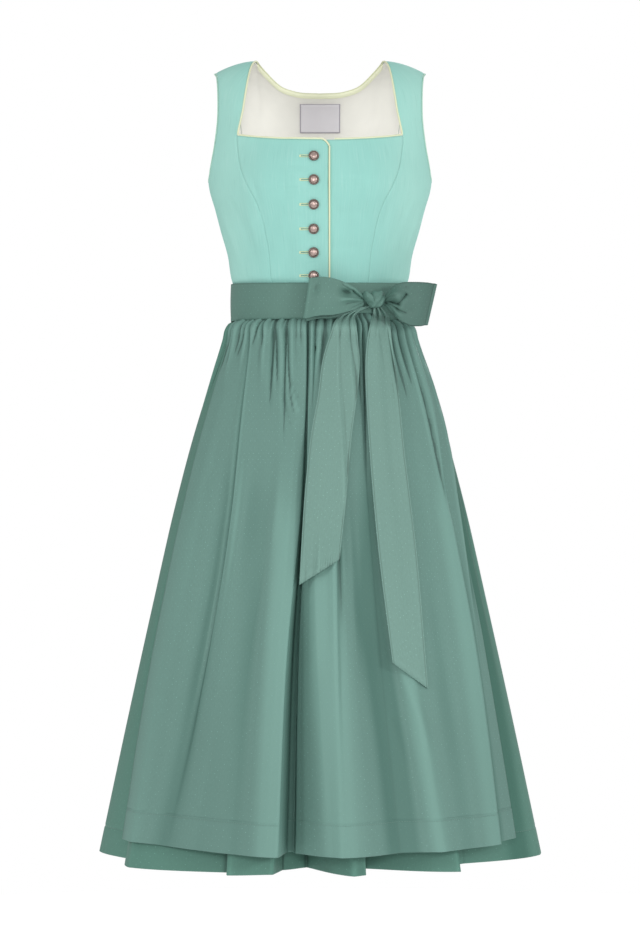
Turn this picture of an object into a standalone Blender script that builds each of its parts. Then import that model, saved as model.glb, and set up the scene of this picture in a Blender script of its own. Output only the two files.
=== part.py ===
"""A dirndl dress, hollow as it is worn: bodice, gathered skirt, apron with its band, and a tied bow.

Metres, +Z up. The front faces -Y, the wearer's left is +X, and the origin lies midway between the shoulders.
A place on the cloth is a turn, in degrees from centre front towards +X, and a level, which is its height.
"""

import math

import bmesh
import bpy
import numpy as np
from mathutils import Matrix, Vector

# Driving sizes
CLOTH = 0.0015  # wall of a cloth piece
SEAM = 0.0003  # gap between two pieces that are sewn together
PIPING = 0.0013  # radius of the piping
ARCH = 0.075  # height over which the shoulders round over
NECK_HALF = 0.089  # half the width between the neck points
SHOULDER_HALF, SHOULDER_FALL = 0.148, 0.018  # half the width between the shoulder tips, and their fall
SIDE_GAP = 0.0005  # from the skirt's side seam to each piece
UNDERARM = -0.170
NECKLINE_CORNER = -0.1105
NECKLINE_CENTRE = -0.120
BACK_NECK = -0.037
WAIST_SEAM = -0.338
SKIRT_HEM = -1.1046
APRON_TOP = -0.350
APRON_HEM = -1.066  # at its side edges
APRON_HEM_DIP = 0.010  # how much lower the apron's hem hangs at centre front
APRON_FLOAT = 0.004  # how much farther the apron stays off the skirt at the hem than at the waist
BAND_TOP, BAND_BOTTOM = -0.316, -0.3644
OVERLAP_EDGE = 0.0115  # where the wearer's right front ends, over the left one
UNDERLAP_EDGE = -0.022
LABEL = (0.0585, -0.0475, -0.0900)  # width, top and bottom
BUTTON_LEVELS = (-0.143, -0.175, -0.208, -0.241, -0.273, -0.3045)
BUTTON_X, BUTTON_RADIUS, BUTTON_HEIGHT = -0.0085, 0.00725, 0.0046
TAIL_LIFT = 0.0036  # from the apron's middle to a tail's
TAIL_PLEAT = 0.0016  # depth of the pleats that a tail is pinched into at the knot
KNOT_TURN, KNOT_LEVEL, KNOT_OUT = 32.8, -0.3378, 0.0238
KNOT_HALF = (0.0142, 0.0132, 0.0135)  # across, upwards and outwards

# How far each layer's middle lies outside the base surface
OVERLAP_OUT, APRON_OUT, BAND_OUT = 0.0018, 0.0033, 0.0062
LINING_OUT, LABEL_OUT = -0.0021, -0.0044
PIPING_LIFT = 1.4  # the overlap's piping rides this much higher than its cloth, clear of the underlap
BAND_FLARE = 0.0031  # how much farther out the band's lower edge lies
BAND_TUCK, TUCK_FLARE = 0.0026, 0.0024  # how much closer the band and its flare lie where no apron is under them

# level, half width, front depth, back depth
RINGS = (
    (0.0, 0.158, 0.100, 0.096),
    (-0.080, 0.158, 0.100, 0.097),
    (-0.115, 0.158, 0.107, 0.099),
    (-0.150, 0.157, 0.113, 0.101),
    (-0.182, 0.1535, 0.114, 0.100),
    (-0.204, 0.1470, 0.111, 0.097),
    (-0.238, 0.1380, 0.106, 0.092),
    (-0.272, 0.1284, 0.100, 0.087),
    (-0.305, 0.1231, 0.096, 0.084),
    (-0.322, 0.1178, 0.093, 0.082),
    (-0.345, 0.1170, 0.093, 0.082),
    (-0.363, 0.1180, 0.094, 0.083),
    (-0.368, 0.1240, 0.0975, 0.0865),
    (-0.374, 0.1280, 0.103, 0.091),
    (-0.389, 0.1322, 0.107, 0.095),
    (-0.445, 0.1514, 0.125, 0.113),
    (-0.501, 0.1696, 0.142, 0.130),
    (-0.613, 0.2000, 0.172, 0.158),
    (-0.753, 0.2320, 0.206, 0.190),
    (-0.921, 0.2690, 0.244, 0.225),
    (-1.1046, 0.3080, 0.281, 0.262),
)

# level, turn of the armhole's edge at the front
ARMHOLE = (
    (UNDERARM, 90.0),
    (-0.165, 82.5),
    (-0.153, 76.0),
    (-0.134, 69.8),
    (-0.112, 65.8),
    (-0.085, 63.2),
    (-0.058, 62.9),
    (-0.030, 64.6),
    (0.0, 68.5),
)

# level, turn of the princess seam, then of the shoulder strap's inner edge
FRONT_SEAM = (
    (WAIST_SEAM, 33.5),
    (-0.292, 33.0),
    (-0.257, 33.3),
    (-0.230, 34.0),
    (-0.208, 36.0),
    (-0.180, 40.5),
    (-0.157, 44.0),
    (-0.134, 45.6),
    (NECKLINE_CORNER, 46.4),
    (-0.090, 44.4),
    (-0.057, 40.8),
    (-0.028, 37.8),
    (0.0, 34.4),
)
BACK_SEAM = ((WAIST_SEAM, 152.0), (-0.24, 149.0), (-0.16, 141.0), (-0.08, 134.0), (0.0, 131.5))

# half width at the back neckline, level
BACK_NECKLINE = ((0.0, BACK_NECK), (0.036, -0.0345), (0.058, -0.0270), (0.076, -0.0120), (NECK_HALF, 0.0))

# turn at the waist, turn at the hem, offset at the waist, offset at the hem
SKIRT_FRONT_FOLDS = (
    (-90, -90, 0.000, 0.000),
    (-71, -69, -0.001, -0.028),
    (-54, -52, 0.001, 0.018),
    (-30, -26, -0.001, -0.014),
    (-25, -22, 0.001, 0.011),
    (-15, -13.4, 0.001, -0.010),
    (-12, -10.6, -0.002, -0.064),
    (-5, -4.8, -0.002, -0.092),
    (8, 8.4, 0.001, 0.004),
    (13, 13.4, -0.002, -0.076),
    (35, 36, 0.001, 0.006),
    (40, 39.8, -0.001, -0.052),
    (50, 50, -0.002, -0.056),
    (80, 81, 0.000, 0.000),
    (90, 90, 0.000, 0.000),
)
BACK_PLEATS = 9
BACK_PLEAT_DEPTH = 0.042
# The apron's fold lines: turns at these levels, then offsets at them
FOLD_LEVELS = (APRON_TOP, -0.420, -0.600, -0.800, APRON_HEM)
APRON_FOLDS = (
    (-66.0, -58.6, -61.0, -60.6, -56.9, 0.000, 0.001, 0.002, 0.004, 0.008),
    (-52.0, -46.0, -44.0, -45.0, -48.0, 0.002, 0.004, 0.005, 0.007, 0.013),
    (-44.6, -38.9, -34.9, -35.8, -41.0, -0.001, 0.000, 0.000, 0.002, 0.010),
    (-40.0, -34.6, -31.0, -32.0, -37.0, 0.002, 0.003, 0.005, 0.008, 0.014),
    (-11.0, -9.6, -9.0, -11.6, -12.2, 0.002, 0.003, 0.010, 0.026, 0.042),
    (-8.6, -7.2, -6.6, -9.2, -9.8, -0.001, -0.001, -0.008, -0.024, -0.032),
    (-6.6, -5.2, -4.6, -6.8, -7.0, -0.001, -0.001, -0.008, -0.024, -0.034),
    (-4.2, -3.0, -2.0, -1.6, 0.5, 0.001, 0.002, 0.009, 0.022, 0.036),
    (4.4, 4.6, 5.2, 5.0, 6.0, 0.001, 0.003, 0.012, 0.028, 0.044),
    (24.0, 21.0, 19.6, 20.2, 20.4, -0.001, 0.000, 0.004, 0.010, 0.018),
    (30.0, 27.0, 26.0, 27.0, 30.5, 0.002, 0.003, 0.009, 0.018, 0.030),
    (46.0, 44.0, 41.0, 39.0, 37.5, 0.001, 0.002, 0.007, 0.012, 0.018),
    (59.0, 57.0, 50.0, 46.0, 43.0, 0.002, 0.004, 0.009, 0.010, 0.013),
    (74.0, 71.0, 60.4, 53.0, 48.0, 0.001, 0.004, 0.008, 0.011, 0.013),
    (79.0, 76.4, 63.6, 57.0, 51.8, -0.001, 0.000, 0.000, 0.001, 0.005),
    (90.0, 87.0, 67.4, 61.6, 56.2, 0.000, 0.001, 0.002, 0.005, 0.009),
)
# Levels of the bodice's rows, up to the neckline's corner and above it
LOWER_LEVELS = (WAIST_SEAM, -0.305, -0.270, -0.235, -0.205, -0.182, UNDERARM, -0.165, -0.153, -0.134)
UPPER_LEVELS = (NECKLINE_CORNER, -0.092, -0.070, -0.050, -0.032, -0.016, 0.0)
BACK_COLUMNS = 12
# Levels of the rows that the skirt and the apron share, between their own upper and lower edges
DRAPE_LEVELS = (-0.363, -0.375, -0.395, -0.430, -0.500, -0.600, -0.710, -0.830, -0.950)
GATHER_DEPTH = 0.0007
GATHER_REACH = 0.12  # share of the skirt's length over which the gathers fade

# x, front depth, back depth, top, bottom
LOOP_RIGHT = (
    (0.0595, -0.1000, -0.0950, -0.3325, -0.3450),
    (0.0490, -0.1090, -0.0975, -0.3230, -0.3514),
    (0.0365, -0.1160, -0.1022, -0.3170, -0.3555),
    (0.0205, -0.1225, -0.1055, -0.3114, -0.3596),
    (0.0020, -0.1255, -0.1085, -0.3082, -0.3609),
    (-0.0140, -0.1205, -0.1115, -0.3090, -0.3645),
)
LOOP_LEFT = (
    (0.0893, -0.0985, -0.0935, -0.3325, -0.3450),
    (0.0990, -0.1090, -0.0940, -0.3213, -0.3548),
    (0.1105, -0.1140, -0.0925, -0.3165, -0.3658),
    (0.1270, -0.1100, -0.0880, -0.3155, -0.3744),
    (0.1420, -0.1010, -0.0830, -0.3160, -0.3760),
    (0.1500, -0.0900, -0.0810, -0.3172, -0.3755),
)
LOOP_RIGHT_LEAN, LOOP_LEFT_LEAN = 0.008, 0.012  # how much farther left a loop's lower edge ends

# level at the left side, level at the right side, left edge, right edge
TAIL_RIGHT = (
    (-0.3540, -0.3520, 0.0560, 0.0690),
    (-0.3665, -0.3615, 0.0230, 0.0480),
    (-0.3885, -0.3885, 0.0135, 0.0523),
    (-0.4243, -0.4243, 0.0030, 0.0549),
    (-0.4708, -0.4708, -0.0032, 0.0511),
    (-0.5300, -0.5300, -0.0135, 0.0430),
    (-0.6149, -0.6149, -0.0217, 0.0353),
    (-0.7240, -0.6900, -0.0280, 0.0267),
)
TAIL_LEFT = (
    (-0.3530, -0.3530, 0.0740, 0.0860),
    (-0.3640, -0.3640, 0.0720, 0.0965),
    (-0.3885, -0.3885, 0.0663, 0.0990),
    (-0.4243, -0.4243, 0.0627, 0.1032),
    (-0.4708, -0.4708, 0.0633, 0.1094),
    (-0.5480, -0.5480, 0.0676, 0.1163),
    (-0.6123, -0.6123, 0.0724, 0.1237),
    (-0.7000, -0.7000, 0.0810, 0.1330),
    (-0.8270, -0.8620, 0.0970, 0.1451),
)

MINT = (0.33, 0.67, 0.60)
GREEN = (0.13, 0.26, 0.21)
APRON_GREEN = (0.17, 0.31, 0.26)
IVORY = (0.82, 0.82, 0.75)
LABEL_GREY = (0.53, 0.50, 0.50)
LIME = (0.80, 0.82, 0.56)
COPPER = (0.45, 0.30, 0.26)


def clear_scene():
    for obj in list(bpy.data.objects):
        bpy.data.objects.remove(obj, do_unlink=True)


def material(name, colour, roughness=0.85, metallic=0.0):
    made = bpy.data.materials.new(name)
    made.use_nodes = True
    shader = made.node_tree.nodes["Principled BSDF"]
    shader.inputs["Base Color"].default_value = (*colour, 1.0)
    shader.inputs["Roughness"].default_value = roughness
    shader.inputs["Metallic"].default_value = metallic
    return made


def eased(rows, at, column=1):
    """A table's column, read at `at` with a smooth cubic through its rows."""
    keys = np.array([row[0] for row in rows], float)
    values = np.array([row[column] for row in rows], float)
    if keys[0] > keys[-1]:
        keys, values = keys[::-1], values[::-1]
    slopes = np.gradient(values, keys)
    at = np.clip(np.asarray(at, float), keys[0], keys[-1])
    i = np.clip(np.searchsorted(keys, at) - 1, 0, len(keys) - 2)
    step = keys[i + 1] - keys[i]
    t = (at - keys[i]) / step
    return (
        (2 * t**3 - 3 * t**2 + 1) * values[i]
        + (t**3 - 2 * t**2 + t) * step * slopes[i]
        + (3 * t**2 - 2 * t**3) * values[i + 1]
        + (t**3 - t**2) * step * slopes[i + 1]
    )


def level_of(height):
    """The level whose surface lies at this height; they differ where the surface rolls over the shoulder."""
    rise = np.clip((np.asarray(height, float) + ARCH) / ARCH, 0, 1)
    return np.where(rise > 0, -ARCH + ARCH * np.arcsin(rise) / (math.pi / 2), height)


def surface(turn, level):
    """The base surface of the dress, as an array of points."""
    turn, level = np.broadcast_arrays(np.radians(turn), np.asarray(level, float))
    roll = np.clip((level + ARCH) / ARCH, 0, 1) * math.pi / 2
    height = np.where(roll > 0, -ARCH + ARCH * np.sin(roll), level)
    width = eased(RINGS, level, 1)
    depth = np.where(np.cos(turn) > 0, eased(RINGS, level, 2), eased(RINGS, level, 3)) * np.cos(roll)
    x = width * np.sin(turn)
    y = -depth * np.cos(turn)
    bust = 0.008 * np.exp(-(((np.abs(x) - 0.070) / 0.042) ** 2) - ((level + 0.172) / 0.042) ** 2)
    y = y - np.where(np.cos(turn) > 0, bust, 0)
    beyond = np.maximum(np.abs(x) - NECK_HALF, 0) / (SHOULDER_HALF - NECK_HALF)
    height = height - SHOULDER_FALL * beyond**1.8 * np.sin(roll) ** 2
    return np.stack([x, y, height], axis=-1)


def outward(turn, level):
    """The base surface's outward normals, kept level below the waist so that folds don't tilt the hems."""
    across = surface(turn + 0.5, level) - surface(turn - 0.5, level)
    along = surface(turn, level + 0.0005) - surface(turn, level - 0.0005)
    normal = np.cross(across, along)
    normal[..., 2] = np.where(np.broadcast_to(level, normal.shape[:-1]) < WAIST_SEAM, 0.0, normal[..., 2])
    return normal / np.linalg.norm(normal, axis=-1, keepdims=True)


def placed(turn, level, out=0.0):
    turn, level, out = np.broadcast_arrays(np.asarray(turn, float), np.asarray(level, float), out)
    return surface(turn, level) + outward(turn, level) * out[..., None]


def finish(obj, look, smooth=True):
    obj.data.materials.append(look)
    if smooth and obj.type == "MESH":
        obj.data.shade_smooth()
        obj.data.set_sharp_from_angle(angle=math.radians(50))
    return obj


def mesh_object(name, shape, look):
    mesh = bpy.data.meshes.new(name)
    shape.to_mesh(mesh)
    shape.free()
    obj = bpy.data.objects.new(name, mesh)
    bpy.context.scene.collection.objects.link(obj)
    return finish(obj, look)


def facing(turn, level, out):
    """The matrix that seats a piece on the surface, its own +Z pointing outwards and its +Y upwards."""
    turned = Vector(outward(turn, level)).to_track_quat("Z", "Y").to_matrix().to_4x4()
    return Matrix.Translation(Vector(placed(turn, level, out))) @ turned


def cloth(name, points, look, wall=CLOTH):
    """A cloth piece: a grid laid on rows x columns of points, thickened evenly about them."""
    rows, columns = points.shape[:2]
    shape = bmesh.new()
    bmesh.ops.create_grid(shape, x_segments=columns - 1, y_segments=rows - 1, size=1)
    shape.verts.ensure_lookup_table()
    for vertex, point in zip(shape.verts, points.reshape(-1, 3)):
        vertex.co = point
    obj = mesh_object(name, shape, look)
    thick = obj.modifiers.new("wall", "SOLIDIFY")
    thick.thickness = wall
    thick.offset = 0.0
    return obj


def tube(name, points, look, radius=PIPING, closed=False):
    curve = bpy.data.curves.new(name, "CURVE")
    curve.dimensions = "3D"
    curve.bevel_depth = radius
    curve.bevel_resolution = 1
    curve.use_fill_caps = True
    spline = curve.splines.new("POLY")
    spline.points.add(len(points) - 1)
    for knot, point in zip(spline.points, points):
        knot.co = (*point, 1.0)
    spline.use_cyclic_u = closed
    obj = bpy.data.objects.new(name, curve)
    bpy.context.scene.collection.objects.link(obj)
    return finish(obj, look)


def ease(share):
    return share * share * (3 - 2 * share)


def bodice_rows(lowest, highest):
    """The levels of the bodice's rows from `lowest` to `highest`, closer together round the armhole."""
    levels = np.array(LOWER_LEVELS + UPPER_LEVELS)
    return levels[(levels > lowest - SEAM) & (levels < highest + SEAM)]


def bodice_piece(name, first, last, tops, look, columns, top=0.0, out=0.0):
    """A bodice piece between two seams. `tops` is the upper end, as a level or as a function of the turn."""
    levels = bodice_rows(WAIST_SEAM, top)
    share = np.linspace(0, 1, columns)
    turn = first(levels)[:, None] * (1 - share) + last(levels)[:, None] * share
    upper = tops(turn[-1]) if callable(tops) else np.full(columns, tops)
    rise = (levels - levels[0]) / (levels[-1] - levels[0])
    level = levels[0] + rise[:, None] * (upper - levels[0])
    lift = out(turn, level) if callable(out) else out
    return cloth(name, placed(turn, level, lift), look)


def gap_at(level, reach=SEAM / 2):
    """Half a seam's gap, as a turn."""
    return np.degrees(reach / eased(RINGS, level, 1))


def armhole(level):
    return np.where(level < UNDERARM, 90.0, eased(ARMHOLE, level))


def turn_of(x, level):
    return np.degrees(np.arcsin(np.clip(x / eased(RINGS, level, 1), -1, 1)))


def neckline_level(turn):
    """The front neckline's level, which dips to centre front."""
    share = np.clip(np.abs(turn) / 46.4, 0, 1)
    return NECKLINE_CENTRE + (NECKLINE_CORNER - NECKLINE_CENTRE) * share**2


def overlap_top(turn):
    """The overlap's upper edge, whose corner is rounded off."""
    corner = np.clip((np.asarray(turn) - 0.3) / 4.0, 0, 1)
    return neckline_level(turn) - 0.010 * corner**2


def overlap_lift(turn, level):
    """The overlap lies on the underlap near centre front and sinks to the base surface beside it."""
    return OVERLAP_OUT * ease(np.clip((turn + 20.0) / 9.0, 0, 1))


def back_top(turn):
    x = np.abs(eased(RINGS, 0.0, 1) * np.sin(np.radians(turn)))
    return np.where(x < NECK_HALF, level_of(eased(BACK_NECKLINE, x)), 0.0)


def build_bodice(mint, ivory):
    for side, name in ((-1, "right"), (1, "left")):
        bodice_piece(
            f"bodice_side_front_{name}",
            lambda level: side * (eased(FRONT_SEAM, level) + gap_at(level)),
            lambda level: side * (armhole(level) - gap_at(level)),
            -SEAM,
            mint,
            7,
        )
        bodice_piece(
            f"bodice_side_back_{name}",
            lambda level: side * (180.0 - armhole(level) + gap_at(level)),
            lambda level: side * (eased(BACK_SEAM, level) - gap_at(level)),
            -SEAM,
            mint,
            7,
        )
    bodice_piece(
        "bodice_front_right",
        lambda level: -(eased(FRONT_SEAM, level) - gap_at(level)),
        lambda level: turn_of(OVERLAP_EDGE, level),
        overlap_top,
        mint,
        12,
        NECKLINE_CORNER,
        overlap_lift,
    )
    bodice_piece(
        "bodice_front_left",
        lambda level: turn_of(UNDERLAP_EDGE, level),
        lambda level: eased(FRONT_SEAM, level) - gap_at(level),
        neckline_level,
        mint,
        9,
        NECKLINE_CORNER,
    )
    back_edges = (
        lambda level: eased(BACK_SEAM, level) + gap_at(level),
        lambda level: 360.0 - eased(BACK_SEAM, level) - gap_at(level),
    )
    for name, look, out in (("bodice_back", mint, 0.0), ("back_lining", ivory, LINING_OUT)):
        bodice_piece(name, *back_edges, lambda turn: back_top(turn) - SEAM, look, BACK_COLUMNS, out=out)


def build_label(look):
    width, top, bottom = LABEL
    level = np.linspace(level_of(bottom), level_of(top), 4)[:, None]
    turn = 180.0 - turn_of(np.linspace(width / 2, -width / 2, 5)[None, :], level)
    cloth("neck_label", placed(turn, level, LABEL_OUT), look, 0.0008)


def edging_points(turn, level, out, hand, closed=False):
    """The middle of a piping that lies beside an edge, on the side that `hand` gives."""
    points = placed(turn, level, out)
    normals = outward(turn, level)
    steps = np.roll(points, -1, axis=0) - points
    if not closed:
        steps[-1] = steps[-2]
    side = np.cross(normals, steps)
    side /= np.linalg.norm(side, axis=1, keepdims=True)
    before = np.roll(side, 1, axis=0)
    if not closed:
        before[0] = side[0]
    mitre = side + before
    mitre /= np.linalg.norm(mitre, axis=1, keepdims=True)
    reach = (PIPING + SEAM) / np.maximum((mitre * side).sum(axis=1, keepdims=True), 0.6)
    return points + hand * mitre * reach


def back_neck_turns():
    """Turns along the back neckline, at the back piece's own columns."""
    seam = float(eased(BACK_SEAM, 0.0) + gap_at(0.0))
    turns = np.linspace(seam, 360.0 - seam, BACK_COLUMNS)
    return turns[back_top(turns) < -SEAM]


def build_piping(look):
    rounded = np.array([4.1, 3.3, 2.2])
    front = np.linspace(0.8, -43.0, 8)
    under = np.linspace(43.0, 7.3, 7)
    strap_levels = bodice_rows(NECKLINE_CORNER, 0.0)
    strap = eased(FRONT_SEAM, strap_levels)
    neck = back_neck_turns()
    turn = np.concatenate([rounded, front, -strap, neck[::-1] - 360.0, strap[::-1], under])
    right = [overlap_top(rounded), neckline_level(front), strap_levels]
    left = [strap_levels[::-1], neckline_level(under)]
    level = np.concatenate([*right, back_top(neck[::-1]), *left])
    on_overlap = np.arange(len(turn)) < len(rounded) + len(front)
    out = np.where(on_overlap, PIPING_LIFT * overlap_lift(turn, level), 0.0)
    tube("neck_piping", edging_points(turn, level, out, -1), look)

    down = np.concatenate([[-0.1345], bodice_rows(WAIST_SEAM, -0.140)[::-1]])
    edge = edging_points(turn_of(OVERLAP_EDGE, down), down, PIPING_LIFT * OVERLAP_OUT, 1)
    tube("front_edge_piping", edge, look)

    rise = bodice_rows(UNDERARM, -0.010)
    for side, name in ((-1, "right"), (1, "left")):
        turn = side * np.concatenate([armhole(rise), [armhole(0.0)], 180.0 - armhole(rise)[:0:-1]])
        level = np.concatenate([rise, [0.0], rise[:0:-1]])
        tube(f"armhole_piping_{name}", edging_points(turn, level, 0.0, -side, True), look, closed=True)


def build_buttons(look):
    """Six domed buttons with a beaded rim, turned about their shank's axis and seated on the overlap."""
    radius, height = BUTTON_RADIUS, BUTTON_HEIGHT
    profile = (
        (0.0, 0.0),
        (radius * 0.90, 0.0),
        (radius, height * 0.22),
        (radius * 0.93, height * 0.50),
        (radius * 0.74, height * 0.52),
        (radius * 0.45, height * 0.90),
        (0.0, height),
    )
    for number, level in enumerate(BUTTON_LEVELS, 1):
        shape = bmesh.new()
        ring = [shape.verts.new((r, 0, z)) for r, z in profile]
        for a, b in zip(ring, ring[1:]):
            shape.edges.new((a, b))
        bmesh.ops.spin(
            shape,
            geom=shape.verts[:] + shape.edges[:],
            cent=(0, 0, 0),
            axis=(0, 0, 1),
            angle=math.tau,
            steps=16,
            use_merge=True,
        )
        bmesh.ops.remove_doubles(shape, verts=shape.verts[:], dist=1e-6)
        bmesh.ops.recalc_face_normals(shape, faces=shape.faces[:])
        obj = mesh_object(f"button_{number}", shape, look)
        obj.matrix_world = facing(float(turn_of(BUTTON_X, level)), level, OVERLAP_OUT + CLOTH / 2 + SEAM)


def fold_columns(folds, least, pitch):
    """Places along a fold table, as knot numbers with fractions: each fold's stretch is split evenly."""
    places = [0.0]
    for k in range(len(folds) - 1):
        split = max(least, round((folds[k + 1][0] - folds[k][0]) / pitch))
        places.extend(k + (i + 1) / split for i in range(split))
    return np.array(places)


def share_of(level):
    """How far down the skirt a level lies, from 0 at the waist to 1 at the hem."""
    return (np.asarray(level) - WAIST_SEAM) / (SKIRT_HEM - WAIST_SEAM)


def skirt_lines(folds, level):
    """Turn and offset of a skirt's fold lines, by level: they run straight from the waist to the hem."""
    table = np.array(folds, float)
    share = share_of(level)[:, None]
    return table[:, 0] * (1 - share) + table[:, 1] * share, table[:, 2] * (1 - share) + table[:, 3] * share


def apron_lines(level):
    """Turn and offset of the apron's fold lines, by level: they bend."""
    count = len(FOLD_LEVELS)
    turns = [eased(list(zip(FOLD_LEVELS, row[:count])), level) for row in APRON_FOLDS]
    offsets = [eased(list(zip(FOLD_LEVELS, row[count:])), level) for row in APRON_FOLDS]
    return np.stack(turns, axis=1), np.stack(offsets, axis=1)


def folded(lines, place):
    """Turn and offset, by level and column, at places that number the fold lines, with fractions between them."""
    turn, offset = lines
    k = np.clip(place.astype(int), 0, turn.shape[1] - 2)
    part = (place - k)[None, :]
    turns = turn[:, k] * (1 - part) + turn[:, k + 1] * part
    return turns, offset[:, k] * (1 - ease(part)) + offset[:, k + 1] * ease(part)


def gathers(count, level):
    """In and out at every other column near the waist, fading down the cloth."""
    swing = np.where(np.arange(count) % 2 == 0, 1.0, -1.0)
    return GATHER_DEPTH * swing[None, :] * np.clip(1 - share_of(level) / GATHER_REACH, 0, 1)[:, None]


def back_folds():
    """The skirt's back: even pleats from side seam to side seam."""
    rows = [(90.0, 90.0, 0.0, 0.0)]
    for i in range(BACK_PLEATS):
        middle = 90.0 + 180.0 * (i + 0.5) / BACK_PLEATS
        lean = 2.0 if i % 2 else -2.0
        rows.append((middle - 5.0, middle - 4.5 + lean, 0.001, 0.0))
        rows.append((middle + 4.5, middle + 4.0 + lean, -0.001, -BACK_PLEAT_DEPTH * (0.8 + 0.2 * (i % 3))))
    rows.append((270.0, 270.0, 0.0, 0.0))
    return tuple(rows)


def skirt_piece(name, folds, look, pitch):
    place = fold_columns(folds, 2, pitch)
    level = np.array([WAIST_SEAM - SEAM, APRON_TOP, *DRAPE_LEVELS, SKIRT_HEM])
    turn, offset = folded(skirt_lines(folds, level), place)
    turn[:, 0] += gap_at(level, SIDE_GAP)
    turn[:, -1] -= gap_at(level, SIDE_GAP)
    cloth(name, placed(turn, level[:, None], offset + gathers(len(place), level)), look)


def skirt_offset(turn, level):
    """The skirt front's offset under any turn, for the apron to clear."""
    place = fold_columns(SKIRT_FRONT_FOLDS, 6, 5.0)
    turns, offsets = folded(skirt_lines(SKIRT_FRONT_FOLDS, level), place)
    return np.array([np.interp(row, t, o) for row, t, o in zip(turn, turns, offsets)])


def apron_surface(place):
    """Turn, level and offset of the apron, row by row."""
    level = np.array([APRON_TOP, *DRAPE_LEVELS, APRON_HEM])
    turn, offset = folded(apron_lines(level), place)
    floor = skirt_offset(turn, level) + APRON_OUT + APRON_FLOAT * share_of(level)[:, None]
    drop = APRON_HEM_DIP * np.cos(np.radians(turn)) ** 2 * (level == APRON_HEM)[:, None]
    return turn, level[:, None] - drop, np.maximum(offset + APRON_OUT, floor)


def apron_crest(turn, level):
    """The farthest that the apron stands out round a place, for what lies on it."""
    turns, levels, offsets = apron_surface(fold_columns(APRON_FOLDS, 3, 2.4))
    row = np.interp(level, levels.max(axis=1)[::-1], np.arange(len(levels))[::-1])
    near = np.linspace(-7, 7, 9)
    low, high = int(row), min(int(row) + 1, len(levels) - 1)
    read = [np.interp(turn + near, turns[k], offsets[k]).max() for k in (low, high)]
    return read[0] + (read[1] - read[0]) * (row - low)


def build_skirt(green):
    skirt_piece("skirt_front", SKIRT_FRONT_FOLDS, green, 6.0)
    skirt_piece("skirt_back", back_folds(), green, 4.5)


def build_apron(look):
    place = fold_columns(APRON_FOLDS, 3, 2.4)
    turn, level, offset = apron_surface(place)
    cloth("apron_panel", placed(turn, level, offset + gathers(len(place), level[:, 0])), look)


def band_tuck(turn):
    """0 where the apron lies under the band, and 1 round the wearer's right side and the back."""
    return ease(np.clip(np.where(turn < 0, -turn - 71, turn - 98) / 14, 0, 1))


def build_band(look):
    for name, first, last in (("apron_band", -90.0, 90.0), ("apron_tie_back", 90.0, 270.0)):
        turn = np.linspace(first + 0.1, last - 0.1, 29)[None, :]
        tuck = band_tuck(turn)
        upper = placed(turn, BAND_TOP, BAND_OUT - BAND_TUCK * tuck)
        lower = placed(turn, BAND_BOTTOM, BAND_OUT + BAND_FLARE - (BAND_TUCK + TUCK_FLARE) * tuck)
        cloth(name, lower + (upper - lower) * np.linspace(0, 1, 4)[:, None, None], look)


def build_loop(name, rows, lean, look):
    """A bow loop: a ribbon that runs out from the knot, turns over at its nose and comes back behind."""
    x, front, back, top, bottom = (np.array(column) for column in zip(*rows))
    outwards = np.sign(x[-1] - x[0])
    middle, half = (front[-1] + back[-1]) / 2, (back[-1] - front[-1]) / 2
    swing = np.radians(np.linspace(-60, 60, 4))
    run_x = np.concatenate([x, x[-1] + outwards * half * np.cos(swing), x[::-1]])
    run_y = np.concatenate([front, middle + half * np.sin(swing), back[::-1]])
    run_top = np.concatenate([top, np.full(4, top[-1]), top[::-1] - 0.0015])
    run_bottom = np.concatenate([bottom, np.full(4, bottom[-1]), bottom[::-1] - 0.0015])
    across = np.linspace(0, 1, 7)[:, None]
    height = run_bottom + (run_top - run_bottom) * across
    aslant = lean * (across - 0.5) * np.abs(run_x - x[0]) / np.abs(x[-1] - x[0])
    crown = 0.004 * np.sin(math.pi * across) * np.concatenate([-np.ones(len(x)), np.zeros(4 + len(x))])
    points = np.stack([run_x + aslant, run_y + crown, height], axis=-1)
    cloth(name, points, look)


def build_tail(name, rows, look):
    """A bow tail: pinched at the knot, lying down the apron, cut off aslant."""
    stations = np.linspace(0, len(rows) - 1, 3 * (len(rows) - 1) + 1)
    keyed = [(i, *row) for i, row in enumerate(rows)]
    left_level, right_level, left, right = (eased(keyed, stations, c)[:, None] for c in (1, 2, 3, 4))
    across = np.linspace(0, 1, 7)[None, :]
    x = left + (right - left) * across
    level = left_level + (right_level - left_level) * across
    points = np.empty((*x.shape, 3))
    for i, j in np.ndindex(x.shape):
        turn = float(turn_of(x[i, j], level[i, j]))
        crest = apron_crest(turn, level[i, j])
        lift = max(crest + TAIL_LIFT, BAND_OUT + BAND_FLARE + TAIL_LIFT)
        turn = math.degrees(math.asin(x[i, j] / (eased(RINGS, level[i, j], 1) + lift)))
        points[i, j] = placed(turn, level[i, j], lift)
    fold = np.cos(across * 4 * math.pi) * TAIL_PLEAT * np.clip(1 - stations / len(rows), 0.1, 1)[:, None]
    points[..., 1] -= fold + TAIL_PLEAT
    cloth(name, points, look)


def build_knot(look):
    shape = bmesh.new()
    bmesh.ops.create_uvsphere(shape, u_segments=18, v_segments=10, radius=1)
    for vertex in shape.verts:
        vertex.co = Vector([math.copysign(abs(c) ** 0.85, c) * half for c, half in zip(vertex.co, KNOT_HALF)])
    seat = mesh_object("bow_knot", shape, look)
    seat.matrix_world = facing(KNOT_TURN, KNOT_LEVEL, KNOT_OUT)


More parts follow.
